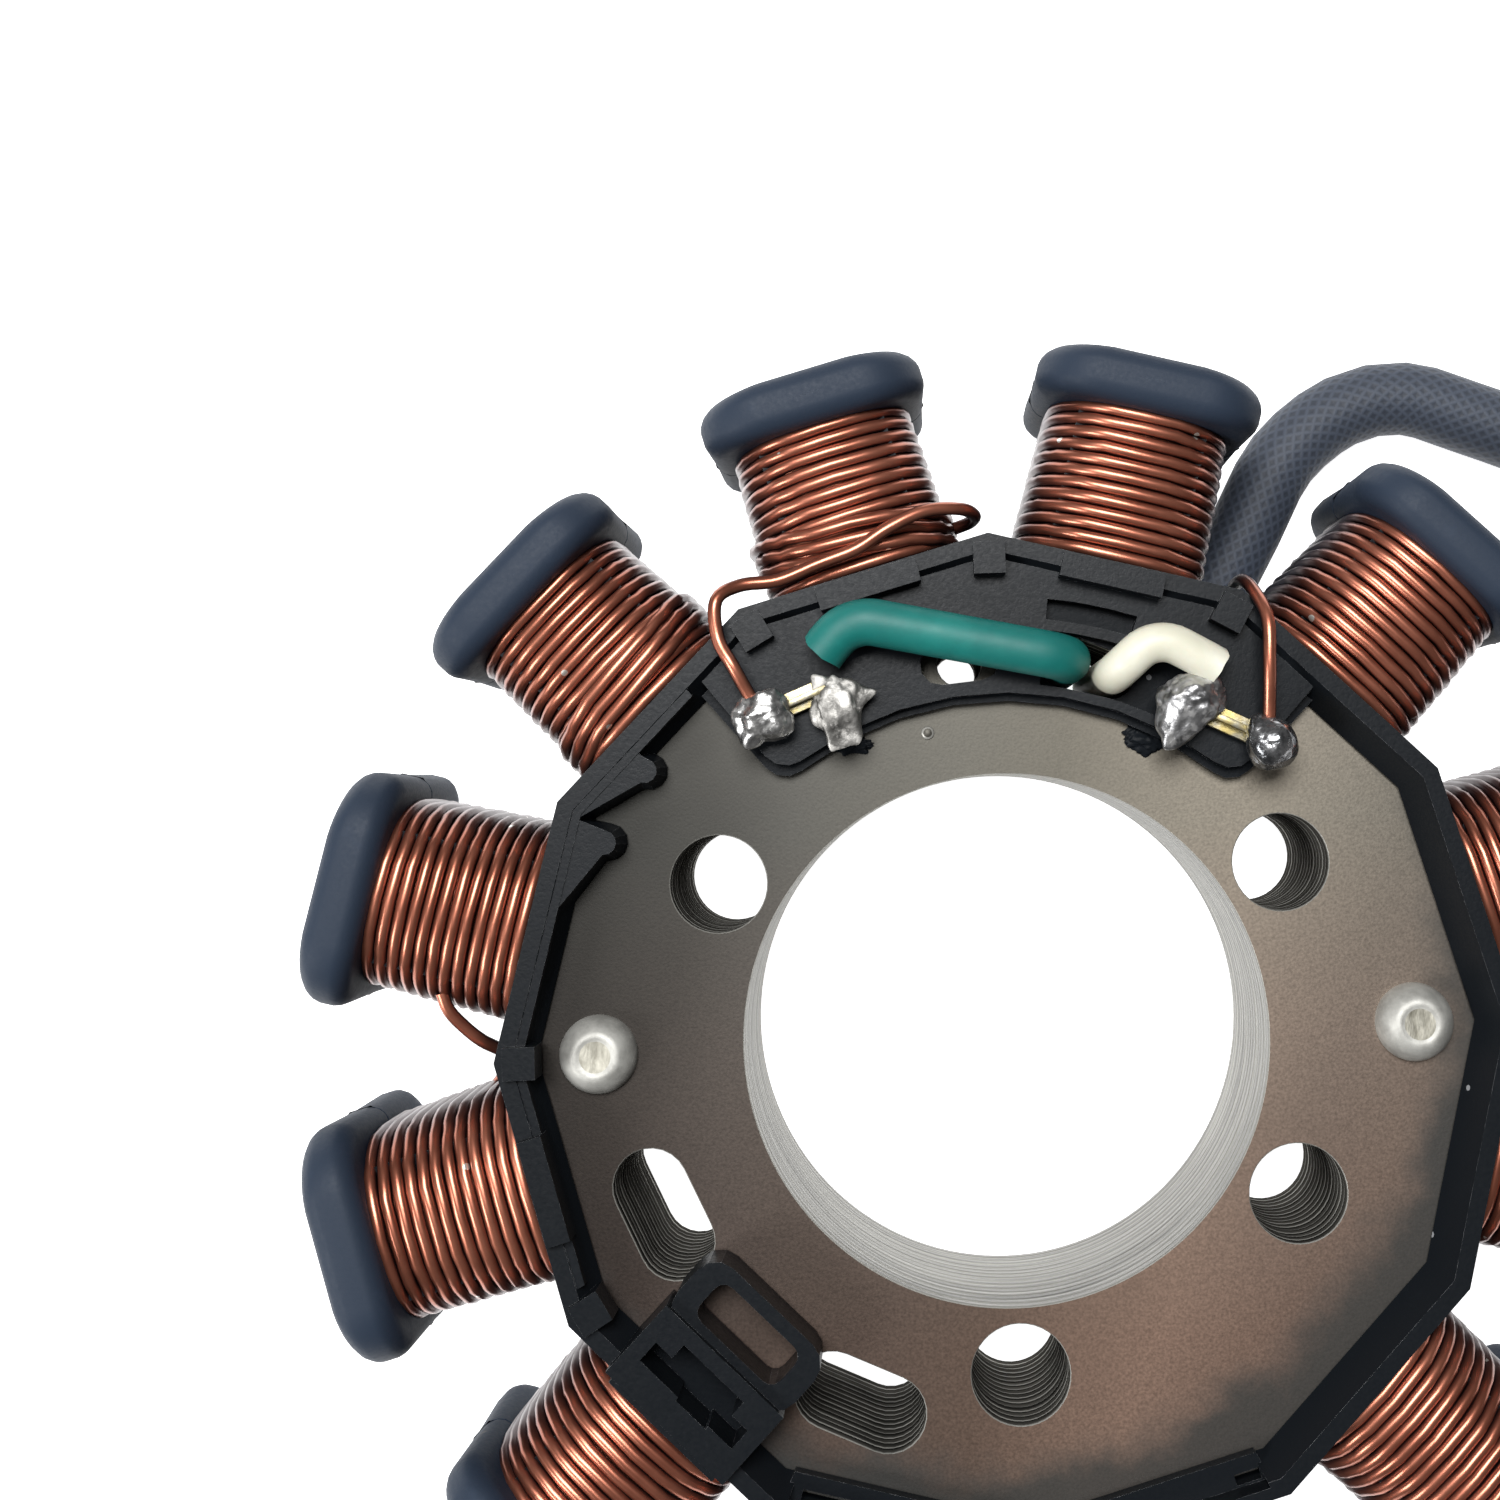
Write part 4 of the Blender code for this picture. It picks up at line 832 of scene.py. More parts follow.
# %% Winding inputs
WIRE = 0.9 * MM
STEPS = 44  # points in each turn
MOVES_ON = (0.55, 0.95)  # the share of a turn in which the wire moves on to the next place
SQUARENESS = 0.52  # 1 gives an ellipse and 0 a rectangle
WINDING_INPUTS = [
    ("Turns", "NodeSocketFloat", 11.0),
    ("Steps", "NodeSocketInt", STEPS),
    ("Pitch", "NodeSocketFloat", 0.94 * MM),
    ("Wire", "NodeSocketFloat", WIRE),
    ("Root", "NodeSocketFloat", 33.1 * MM),
    ("Half Width", "NodeSocketFloat", 6.6 * MM),
    ("Taper", "NodeSocketFloat", 0.04),
    ("Half Height", "NodeSocketFloat", 9.6 * MM),
    ("Lean", "NodeSocketFloat", 0.0),
    ("Bow", "NodeSocketFloat", 1.5 * MM),
    ("Unevenness", "NodeSocketFloat", 0.12 * MM),
    ("Seed", "NodeSocketFloat", 1.0),
    ("Angle", "NodeSocketFloat", 0.0),
    ("Finish", "NodeSocketMaterial", None),
]


# %% Path of a wire
def squared(group, value):
    """A sine or cosine drawn towards -1 and 1, which turns a circle into a rounded square."""
    size = maths(group, "POWER", maths(group, "ABSOLUTE", value), SQUARENESS)
    return maths(group, "MULTIPLY", maths(group, "SIGN", value), size)


def winding_path(group, given):
    """The place of each point of the wire, for a pole along +X with its middle at height 0."""
    size = given.outputs
    index = add_node(group, "GeometryNodeInputIndex").outputs[0]
    turned = maths(group, "DIVIDE", index, size["Steps"])
    part = maths(group, "FRACT", turned)
    moved = maths(group, "ADD", maths(group, "FLOOR", turned), soft_step(group, part, *MOVES_ON))
    advance = maths(group, "MULTIPLY", moved, size["Pitch"])
    angle = maths(group, "MULTIPLY", part, 2 * math.pi)
    cosine, sine = maths(group, "COSINE", angle), maths(group, "SINE", angle)
    wide, high = squared(group, cosine), squared(group, sine)
    drawn_in = maths(group, "MULTIPLY", advance, size["Taper"])
    across = maths(group, "MULTIPLY", wide, maths(group, "SUBTRACT", size["Half Width"], drawn_in))
    sag = maths(group, "MULTIPLY", maths(group, "MULTIPLY", wide, wide), size["Bow"])
    height = maths(group, "MULTIPLY", high, maths(group, "SUBTRACT", size["Half Height"], sag))
    slant = maths(group, "MULTIPLY", cosine, size["Lean"])
    radial = maths(group, "ADD", maths(group, "ADD", size["Root"], advance), slant)
    place = add_node(group, "ShaderNodeCombineXYZ", X=radial, Y=across, Z=height)
    return place.outputs[0], turned


# %% Winding tree
def winding_tree():
    group, given, result = new_group(
        "winding", WINDING_INPUTS, [("Geometry", "NodeSocketGeometry")], "GeometryNodeTree")
    size = given.outputs
    count = maths(group, "MULTIPLY_ADD", size["Turns"], size["Steps"], 1.0)
    line = add_node(group, "GeometryNodeCurvePrimitiveLine")
    points = add_node(group, "GeometryNodeResampleCurve", Curve=line.outputs[0], Count=count)
    path, turned = winding_path(group, given)
    wobble = add_node(
        group, "ShaderNodeTexNoise", {"noise_dimensions": "4D"},
        Vector=path, W=maths(group, "MULTIPLY_ADD", turned, 0.35, size["Seed"]),
        Scale=150.0, Detail=1.0,
    )
    centred = vector_maths(group, "SUBTRACT", wobble.outputs["Color"], (0.5, 0.5, 0.5))
    shift = add_node(
        group, "ShaderNodeVectorMath", {"operation": "SCALE"},
        Vector=centred, Scale=maths(group, "MULTIPLY", size["Unevenness"], 2.0),
    )
    bent = add_node(
        group, "GeometryNodeSetPosition",
        Geometry=points.outputs[0], Position=path, Offset=shift.outputs[0],
    )
    radius = maths(group, "MULTIPLY", size["Wire"], 0.5)
    section = add_node(group, "GeometryNodeCurvePrimitiveCircle", Resolution=8, Radius=radius)
    wire = add_node(
        group, "GeometryNodeCurveToMesh",
        Curve=bent.outputs[0], Profile_Curve=section.outputs[0], Fill_Caps=True,
    )
    smooth = add_node(group, "GeometryNodeSetShadeSmooth", Geometry=wire.outputs[0])
    spin = add_node(group, "ShaderNodeCombineXYZ", Z=size["Angle"])
    on_its_pole = add_node(
        group, "GeometryNodeTransform",
        Geometry=smooth.outputs[0], Rotation=spin.outputs[0], Translation=(0.0, 0.0, MIDDLE),
    )
    return close_tree(group, given, result, on_its_pole.outputs[0])


WINDING = winding_tree()
print("winding inputs", [item[0] for item in WINDING_INPUTS])

# %% [markdown]
# ## Enamelled copper
# The enamel is a clear red-brown coat over bright copper, so the wire is nearly black where
# nothing bright is mirrored and orange where a light is. A metal shader with a deep copper
# colour and a thin coat gives both, with painted shade darkening the colour down the sides of a
# turn, and slow patches stop the turns from looking alike. A few pale specks are dust.

# %% Copper finish
DEEP_COPPER, BRIGHT_COPPER = (0.40, 0.135, 0.082), (0.54, 0.195, 0.122)
# Painted shade down the sides of each turn.
COPPER_PAINTED_SIDE_SHADE = (0.046, 0.022, 0.025)
DUST = (0.75, 0.72, 0.66)


def enamelled_copper():
    made, tree, shader = new_material("enamelled_copper")
    tone = patches(tree, 140.0, 0.35, 0.65)
    top = blend_colours(tree, tone, DEEP_COPPER, BRIGHT_COPPER)
    # Painted shade: darker where the normal leans away from the top of a turn.
    colour = blend_colours(tree, upward(tree, 0.0, 0.95), COPPER_PAINTED_SIDE_SHADE, top)
    set_inputs(
        tree, shader,
        Base_Color=blend_colours(tree, specks(tree, 420.0, 0.10, 0.25), colour, DUST),
        Roughness=maths(tree, "MULTIPLY_ADD", tone, 0.06, 0.30),
        Metallic=0.85, Coat_Weight=0.14, Coat_Roughness=0.16,
    )
    return made


COPPER = enamelled_copper()
print("finish", COPPER.name)

# %% Layers of wire
LAYER_BELOW = {
    "Turns": 10.75, "Pitch": 0.93 * MM, "Half Width": 5.5 * MM, "Half Height": 8.7 * MM,
    "Unevenness": 0.06 * MM}
LAYER_IN_VIEW = {
    "Turns": 11.75, "Pitch": 0.885 * MM, "Wire": 0.87 * MM, "Root": 32.9 * MM,
    "Half Width": 6.5 * MM, "Half Height": 9.55 * MM, "Unevenness": 0.13 * MM}
CROSSING_LAYER = {
    "Turns": 2.75, "Pitch": 0.9 * MM, "Root": 33.9 * MM, "Half Width": 6.75 * MM,
    "Half Height": 10.0 * MM, "Taper": 0.0, "Unevenness": 0.25 * MM}
CROSSING_LEAN = {3: 0.9 * MM, 4: -0.9 * MM}  # by the pole's number, from 0
LEAN = 0.2 * MM


def winding_layers(k, angle):
    """The inputs of each run of the tree for one pole."""
    rng = random.Random(40 + k)
    shared = {"Angle": math.radians(angle), "Finish": COPPER, "Steps": STEPS, "Seed": 7.0 * k}
    lean = rng.uniform(-LEAN, LEAN)
    layers = [
        {**shared, **LAYER_BELOW},
        {**shared, **LAYER_IN_VIEW, "Lean": lean, "Seed": 7.0 * k + 3.0},
    ]
    if k in CROSSING_LEAN:
        layers.append({**shared, **CROSSING_LAYER, "Lean": CROSSING_LEAN[k]})
    return layers


def gathered(meshes):
    """All of the meshes in one bmesh, and the meshes themselves go."""
    bm = bmesh.new()
    for mesh in meshes:
        bm.from_mesh(mesh)
        bpy.data.meshes.remove(mesh)
    return bm


def build_windings():
    """All the wire of a pole, joined to one piece for each coil."""
    faces = 0
    for k, angle in enumerate(POLE_ANGLES):
        layers = [run_tree("layer", WINDING, values) for values in winding_layers(k, angle)]
        mesh = plain_mesh(gathered(layers), f"winding_{k + 1:02d}")
        mesh.shade_smooth()
        keep_piece(f"winding_{k + 1:02d}", mesh, COPPER, f"coil_{k + 1:02d}")
        faces += len(mesh.polygons)
    return faces


print("winding faces", build_windings())

# %% [markdown]
# ## The two mouldings
# Front and rear insulators clip over the stack from both sides. Their solids have the right
# shape but knife-sharp edges, so a copy of each is merged, its flat faces are joined again and
# a small rounding is added. The faces that the rounding makes are marked with an attribute,
# because that is where the black plastic is scuffed pale, a mark that is partly real wear and
# partly a painted edge highlight. The twelve pole tips are cut away here and made anew in the
# next step, since they need much rounder corners.

# %% Copying a solid
TIP_START = 42.75 * MM
SEATS = (REAR_FACE - 0.3 * MM, FRONT_FACE + 0.3 * MM)  # heights of the faces beside the stack


def merged_copy(node):
    """One connected copy of a solid, with its flat faces joined, save those beside the stack."""
    bm = bmesh.new()
    bm.from_mesh(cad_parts[node].data)
    bmesh.ops.remove_doubles(bm, verts=bm.verts, dist=0.004 * MM)
    seated = {v for v in bm.verts if min(abs(v.co.z - seat) for seat in SEATS) < 0.05 * MM}
    bmesh.ops.dissolve_limit(
        bm, angle_limit=math.radians(1.5),
        verts=[v for v in bm.verts if v not in seated],
        edges=[e for e in bm.edges if not set(e.verts) <= seated],
    )
    return bm


def nearest(element):
    return min(v.co.to_2d().length for v in element.verts)


def without_tips(bm):
    """Takes off all that lies beyond the windings and closes the cut."""
    beyond = [f for f in bm.faces if nearest(f) > TIP_START]
    bmesh.ops.delete(bm, geom=beyond, context="FACES")
    cuts = [e for e in bm.edges if e.is_boundary and nearest(e) > 0.95 * TIP_START]
    bmesh.ops.holes_fill(bm, edges=cuts)
    return bm


def rounded_with_rims(bm, name, width):
    """Rounds the edges and marks the rounded faces with the attribute rim."""
    mesh = plain_mesh(bm, name)
    mesh.shade_smooth()
    for label in ("flat", "rim"):
        mesh.materials.append(bpy.data.materials.get(label) or bpy.data.materials.new(label))
    helper = linked(name, mesh)
    add_bevel(helper, width, 28.0).material = 1
    helper.modifiers.new("level_faces", "WEIGHTED_NORMAL").keep_sharp = True
    made = evaluated(helper, name)
    rim = made.attributes.new("rim", "FLOAT", "FACE")
    rim.data.foreach_set("value", [float(face.material_index) for face in made.polygons])
    made.polygons.foreach_set("material_index", [0] * len(made.polygons))
    return made


print("solids to copy", [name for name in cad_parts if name.endswith("insulator")])

# %% Moulding finish
DIPS_FROM, DIPS_TO = 19.4 * MM, 21.4 * MM  # below this the moulding lies in its own shade


def black_moulding(name, base, worn_and_highlight, rough, texture, shine):
    """Black plastic with scuffed rims, partly a painted edge highlight, a little dust and less
    sheen low down.
    """
    made, tree, shader = new_material(name)
    amount, normal = grain(tree, 3600.0, texture)
    rim = add_node(tree, "ShaderNodeAttribute", {"attribute_name": "rim"}).outputs["Fac"]
    # The rims' pale scuffing is partly real wear and partly a painted edge highlight.
    scuffed = maths(tree, "MULTIPLY", rim, patches(tree, 1200.0, 0.42, 0.58))
    scuffed = maths(tree, "MULTIPLY", scuffed, 0.8)
    wear = maths(tree, "MAXIMUM", scuffed, specks(tree, 300.0, 0.07, 0.3))
    dust = maths(tree, "MULTIPLY", patches(tree, 420.0, 0.58, 0.75), 0.15)
    colour = blend_colours(tree, dust, base, tuple(2.0 * c for c in base))
    soft = maths(tree, "MULTIPLY_ADD", amount, 0.3, rough)
    open_part = add_node(
        tree, "ShaderNodeMapRange",
        Value=split(tree, object_place(tree))[2], From_Min=DIPS_FROM, From_Max=DIPS_TO, To_Min=0.3,
    ).outputs[0]
    sheen = maths(tree, "MULTIPLY_ADD", rim, 0.4, shine)
    set_inputs(
        tree, shader,
        Base_Color=blend_colours(tree, wear, colour, worn_and_highlight),
        Roughness=maths(tree, "MULTIPLY_ADD", rim, -0.1, soft),
        Specular_IOR_Level=maths(tree, "MULTIPLY", sheen, open_part),
        Normal=normal,
    )
    return made


MOULDING = black_moulding(
    "black_moulding", base=(0.0065, 0.0080, 0.0100), worn_and_highlight=(0.22, 0.225, 0.235),
    rough=0.22, texture=0.013 * MM, shine=0.13)


def build_mouldings():
    for node in ("front_insulator", "rear_insulator"):
        mesh = rounded_with_rims(without_tips(merged_copy(node)), node + "_moulding", 0.15 * MM)
        keep_piece(node + "_moulding", mesh, MOULDING, node)
        print(node, "faces", len(mesh.polygons))


build_mouldings()

# %% [markdown]
# ## The pole tips
# At the outer end of every pole the insulators carry a thick flange that keeps the wire on. Seen
# from the front it is a fat pad with round shoulders, softer to the eye than the rest of the
# moulding. One tip is lofted through a few sections, and Geometry Nodes set it on all twelve
# poles, front and rear.

# %% One tip
TIP_HALF_WIDTH = 7.85 * MM
TIP_HEIGHT = 11.5 * MM
TIP_CORNER = 4.3 * MM
TIP_INSIDE, TIP_OUTSIDE = 42.9 * MM, 46.7 * MM
TIP_ROUNDING = 1.2 * MM
TIP_BOW = 0.75  # 1 bows the outer face as a circle about the stator's axis would
TIP_ROW = ((1.0, 0.0), (0.62, 0.10), (0.29, 0.36), (0.08, 0.70), (0.0, 1.0))  # of the rounding


def tip_section(inset):
    """Half a flange seen along its pole, drawn in by an inset."""
    half, high = TIP_HALF_WIDTH - inset, TIP_HEIGHT - inset
    bend = TIP_CORNER - 0.6 * inset
    right = [Vector((half - bend, high - bend)) + polar(bend, 9.0 * k).to_2d() for k in range(11)]
    left = [Vector((-p.x, p.y)) for p in reversed(right)]
    foot = half - 0.1 * MM
    return [Vector((foot, 0.1 * MM))] + right + left + [Vector((-foot, 0.1 * MM))]


def tip_mesh():
    bm = bmesh.new()
    stations = []
    for inset, depth in TIP_ROW:
        stations.append((TIP_ROUNDING * inset, TIP_INSIDE + TIP_ROUNDING * depth, 0.0))
    for inset, depth in reversed(TIP_ROW):
        stations.append((TIP_ROUNDING * inset, TIP_OUTSIDE - TIP_ROUNDING * depth, TIP_BOW))
    rings = []
    for inset, radial, bowed in stations:
        ring = []
        for across, height in tip_section(inset):
            bow = bowed * (TIP_OUTSIDE - math.sqrt(TIP_OUTSIDE ** 2 - across ** 2))
            ring.append(bm.verts.new((radial - bow, across, height)))
        rings.append(ring)
    for low, high in zip(rings, rings[1:]):
        for k in range(len(low)):
            ahead = (k + 1) % len(low)
            bm.faces.new((low[k], low[ahead], high[ahead], high[k]))
    bm.faces.new(rings[0])
    bm.faces.new(rings[-1])
    return mesh_from(bm, "tip", 60.0)


TIP_PAD = tip_mesh()
print("tip vertices", len(TIP_PAD.vertices))

# %% Ring of tips
def ring_of_tips_tree():
    """A copy of the tip for each pole. Side is 1 for the front and -1 for the rear."""
    group, given, result = new_group(
        "ring_of_tips",
        [
            ("Geometry", "NodeSocketGeometry", None),
            ("Poles", "NodeSocketInt", POLES),
            ("First Angle", "NodeSocketFloat", math.radians(FIRST_POLE)),
            ("Side", "NodeSocketFloat", 1.0),
            ("Finish", "NodeSocketMaterial", None),
        ],
        [("Geometry", "NodeSocketGeometry")],
        "GeometryNodeTree",
    )
    line = add_node(
        group, "GeometryNodeMeshLine", Count=given.outputs["Poles"], Offset=(0.0, 0.0, 0.0))
    index = add_node(group, "GeometryNodeInputIndex").outputs[0]
    share = maths(group, "DIVIDE", index, given.outputs["Poles"])
    angle = maths(group, "MULTIPLY_ADD", share, 2 * math.pi, given.outputs["First Angle"])
    other_side = maths(group, "SUBTRACT", 1.0, given.outputs["Side"])
    over = maths(group, "MULTIPLY", other_side, math.pi / 2)
    spin = add_node(group, "ShaderNodeCombineXYZ", X=over, Z=angle)
    placed = add_node(
        group, "GeometryNodeInstanceOnPoints",
        Points=line.outputs[0], Instance=given.outputs["Geometry"], Rotation=spin.outputs[0],
    )
    return close_tree(group, given, result, placed.outputs[0])


# The tips are the same black plastic as the rest of the moulding, and their lighter blue-grey base
# is a painted bluish sheen.
TIP_FINISH_PAINTED_SHEEN = black_moulding(
    "tip_moulding_painted_sheen", base=(0.019, 0.029, 0.048), worn_and_highlight=(0.06, 0.06, 0.065),
    rough=0.42, texture=0.012 * MM, shine=0.22)


def build_tips():
    tree = ring_of_tips_tree()
    shared = {"Poles": POLES, "First Angle": math.radians(FIRST_POLE), "Finish": TIP_FINISH_PAINTED_SHEEN}
    for label, side in (("front", 1.0), ("rear", -1.0)):
        mesh = run_tree(f"tips_{label}", tree, {**shared, "Side": side}, TIP_PAD.copy())
        mesh.transform(Matrix.Translation((0.0, 0.0, MIDDLE)))
        keep_piece(f"tips_{label}", mesh, TIP_FINISH_PAINTED_SHEEN)
        print("tips", label, "faces", len(mesh.polygons))


build_tips()

# %% [markdown]
# ## Rivets
# Two rivets clamp the sheets. Their heads were closed by a round punch that left a rough flat
# dimple in the middle of a smooth dome, which a turned profile gives, with a coarse bump only
# inside the dimple.

# %% Turned shapes
def turned_mesh(name, profile, sides, centre):
    """A (radius, height) profile turned about an upright axis through the centre."""
    bm = bmesh.new()
    rings = []
    for radius, height in profile:
        count = sides if radius > 0 else 1
        places = [centre + polar(radius, 360.0 * k / sides, height) for k in range(count)]
        rings.append([bm.verts.new(place) for place in places])
    for low, high in zip(rings, rings[1:]):
        for k in range(sides):
            corners = [low[k % len(low)], low[(k + 1) % len(low)]]
            corners += [high[(k + 1) % len(high)], high[k % len(high)]]
            bm.faces.new(list(dict.fromkeys(corners)))
    return mesh_from(bm, name, 50.0)


DOME_ARC = math.radians(62.0)
DIMPLE_DEPTH = 0.09 * MM


def head_profile(base, rise, radius, dimple):
    """From the middle of the dimple out over the dome and in under the head."""
    top = base + rise
    profile = [
        (0.0, top - DIMPLE_DEPTH),
        (dimple * 0.86, top - 0.08 * MM),
        (dimple, top - 0.04 * MM),
    ]
    for k in range(9):
        bend = DOME_ARC * (1 - k / 8)
        out = radius * math.cos(bend) ** 0.8
        profile.append((out, base + rise * (math.sin(bend) / math.sin(DOME_ARC))))
    return profile + [(radius, base - 0.1 * MM), (0.0, base - 0.1 * MM)]


print("points of a head", len(head_profile(0.0, 1.1 * MM, 2.4 * MM, 1.6 * MM)))

# %% Rivet steel
DIMPLE_HEIGHT = FRONT_FACE + 1.6 * MM
DOME = [(0.0, (0.36, 0.355, 0.33)), (1.0, (0.54, 0.535, 0.50))]
PIT = [(0.3, (0.17, 0.16, 0.125)), (0.7, (0.62, 0.60, 0.52))]


def rivet_steel():
    """Bright steel, rougher and a little yellow in the struck dimple, which lies flat and high."""
    made, tree, shader = new_material("rivet_steel")
    height = split(tree, object_place(tree))[2]
    upright = add_node(tree, "ShaderNodeNewGeometry").outputs["True Normal"]
    level = maths(tree, "GREATER_THAN", split(tree, upright)[2], 0.985)
    high = maths(tree, "GREATER_THAN", height, DIMPLE_HEIGHT)
    struck = maths(tree, "MULTIPLY", level, high)
    amount, fine = grain(tree, 1500.0, 0.02 * MM)
    pitted, coarse = grain(tree, 1100.0, 0.22 * MM, (1.0, 0.4, 1.0))
    dome = shades(tree, patches(tree, 500.0, 0.35, 0.65), DOME)
    soft = maths(tree, "MULTIPLY_ADD", amount, 0.2, 0.46)
    bump = add_node(tree, "ShaderNodeMix", {"data_type": "VECTOR"}, Factor=struck)
    for socket, normal in zip(bump.inputs[4:6], (fine, coarse)):
        feed(tree, socket, normal)
    set_inputs(
        tree, shader,
        Base_Color=blend_colours(tree, struck, dome, shades(tree, pitted, PIT)),
        Roughness=maths(tree, "MULTIPLY_ADD", struck, 0.1, soft),
        Normal=bump.outputs[1],
        Metallic=0.55,
    )
    return made


RIVET = rivet_steel()
print("finish", RIVET.name)

# %% Rivet heads
RIVET_CIRCLE = 27.16 * MM
HEAD_SEAT = 0.05 * MM  # how far a head stands off the sheets


def build_rivets():
    for side, angle in (("right", 0.0), ("left", 180.0)):
        centre = polar(RIVET_CIRCLE, angle)
        profile = head_profile(FRONT_FACE + HEAD_SEAT, 1.85 * MM, 2.6 * MM, 1.2 * MM)
        front = turned_mesh("head", profile, 40, centre)
        profile = head_profile(0.0, 1.1 * MM, 2.4 * MM, 1.6 * MM)
        rear = turned_mesh("rear_head", profile, 32, Vector((0.0, 0.0, 0.0)))
        below = centre + Vector((0.0, 0.0, REAR_FACE - HEAD_SEAT))
        rear.transform(Matrix.Translation(below) @ Matrix.Rotation(math.pi, 4, "X"))
        heads = mesh_from(gathered([front, rear]), f"rivet_{side}_heads", 50.0)
        keep_piece(f"rivet_{side}_heads", heads, RIVET, f"rivet_{side}")


build_rivets()
print("rivets done")

# %% [markdown]
# ## The two leads
# A green and a cream lead start at the inner joints, run over the plate and dive through the
# stack. Their routes repeat the solids' routes. The soft insulation is a smooth plastic with a
# slight haze, and both are swept as round tubes.

# %% Lead finishes
def soft_insulation(name, colour, pale, rough):
    made, tree, shader = new_material(name)
    amount, normal = grain(tree, 700.0, 0.02 * MM)
    set_inputs(
        tree, shader,
        Base_Color=blend_colours(tree, patches(tree, 160.0, 0.4, 0.8), colour, pale),
        Roughness=maths(tree, "MULTIPLY_ADD", amount, 0.2, rough),
        Normal=normal,
        Subsurface_Weight=0.05, Subsurface_Scale=0.5 * MM,
    )
    return made


GREEN = soft_insulation("green_insulation", (0.0, 0.120, 0.106), (0.004, 0.175, 0.152), 0.45)
CREAM = soft_insulation("cream_insulation", (0.61, 0.595, 0.48), (0.74, 0.73, 0.635), 0.38)
print("leads in", GREEN.name, CREAM.name)

# %% Lead routes
LEADS = (  # colour, radius, finish and the route's (place, bend radius) in millimetres
    ("green", 1.55 * MM, GREEN, (
        ((-11.29, 25.88, 23.35), 0.0), ((-9.3, 28.0, 23.85), 3.0), ((4.97, 24.86, 23.35), 2.15),
        ((4.97, 24.86, 2.15), 2.15), ((6.86, 28.29, 2.15), 1.7), ((13.19, 25.75, 2.15), 2.15),
        ((15.82, 30.29, 1.65), 0.0))),
    ("white", 1.3 * MM, CREAM, (
        ((14.78, 23.90, 23.1), 0.0), ((10.7, 26.2, 23.6), 2.4), ((7.96, 23.80, 23.1), 1.9),
        ((7.96, 23.80, 2.15), 1.9), ((14.34, 21.45, 2.15), 1.9), ((18.54, 28.72, 1.4), 0.0))),
)


def straight_points(start, end, step):
    count = max(1, round((end - start).length / step))
    return [start.lerp(end, k / count) for k in range(1, count + 1)]


def bent_path(corners, step):
    """Straight runs between (place, bend radius) corners in millimetres, with round bends."""
    places = [Vector(place) * MM for place, bend in corners]
    path = [places[0]]
    for before, corner, after, (_, bend) in zip(places, places[1:], places[2:], corners[1:]):
        back, ahead = (before - corner).normalized(), (after - corner).normalized()
        turn = math.pi - back.angle(ahead)
        run = bend * MM * math.tan(turn / 2)
        centre = corner + (back + ahead).normalized() * (bend * MM / math.cos(turn / 2))
        first, last = corner + back * run - centre, corner + ahead * run - centre
        path += straight_points(path[-1], centre + first, step)
        for k in range(1, 9):
            share = turn * k / 8
            arc = first * math.sin(turn - share) + last * math.sin(share)
            path.append(centre + arc / math.sin(turn))
    return path + straight_points(path[-1], places[-1], step)


# %% Leads with ragged ends
RAGGED_END = 0.22 * MM


def fixed_noise(place):
    """Three plain noises, because noise_vector gives another result in each run of Blender."""
    return Vector([noise.noise(place + Vector((0.0, 0.0, 17.0 * k))) for k in range(3)])


def build_leads():
    for colour, radius, finish, corners in LEADS:
        bm = bmesh.new()
        add_tube(bm, bent_path(corners, 0.8 * MM), radius, 24)
        start = Vector(corners[0][0]) * MM
        for vert in bm.verts:
            if (vert.co - start).length < radius * 1.05:
                vert.co += fixed_noise(vert.co * 900.0) * RAGGED_END
        mesh = mesh_from(bm, f"{colour}_lead", 60.0)
        keep_piece(f"{colour}_lead", mesh, finish, f"lead_{colour}")


build_leads()
print("leads done")

# %% [markdown]
# ## Terminals, solder and winding ends
# Each pair of joints sits on a small brass strip. The joints are lumps of solder set hard by
# hand: a rough pair with flux on the left, a ball and a cone on the right. A lump is a sphere
# that noise pushes in and out, stretched to its measured size, so every joint is its own shape.

# %% Solder and brass finishes
FLUX = (0.72, 0.70, 0.66)


def solder_finish(name, dark, bright, flux, rough):
    """Lumpy tin, with crusts of flux over a share of it."""
    made, tree, shader = new_material(name)
    amount, normal = grain(tree, 1100.0, 0.07 * MM)
    metal = blend_colours(tree, patches(tree, 600.0, 0.38, 0.62), dark, bright)
    crust = maths(tree, "MULTIPLY", patches(tree, 800.0, 0.52, 0.60), flux)
    set_inputs(
        tree, shader,
        Base_Color=blend_colours(tree, crust, metal, FLUX),
        Metallic=maths(tree, "SUBTRACT", 0.95, crust),
        Roughness=maths(tree, "MULTIPLY_ADD", amount, 0.3, rough),
        Normal=normal,
    )
    return made


def tinned_brass():
    made, tree, shader = new_material("tinned_brass")
    amount, normal = grain(tree, 1400.0, 0.03 * MM)
    tinned = patches(tree, 500.0, 0.4, 0.6)
    set_inputs(
        tree, shader,
        Base_Color=blend_colours(tree, tinned, (0.46, 0.37, 0.15), (0.36, 0.34, 0.28)),
        Roughness=maths(tree, "MULTIPLY_ADD", amount, 0.2, 0.32),
        Normal=normal,
        Metallic=1.0,
    )
    return made


SOLDERS = {
    name: solder_finish(name + "_solder", dark, bright, flux, rough)
    for name, dark, bright, flux, rough in (
        ("shiny", (0.26, 0.26, 0.26), (0.66, 0.655, 0.64), 0.15, 0.15),
        ("pale", (0.18, 0.175, 0.165), (0.40, 0.39, 0.37), 0.45, 0.34),
        ("grey", (0.20, 0.20, 0.205), (0.52, 0.52, 0.525), 0.2, 0.2),
        ("dark", (0.13, 0.135, 0.14), (0.50, 0.50, 0.51), 0.0, 0.09),
    )
}
BRASS = tinned_brass()
print("solders", list(SOLDERS))

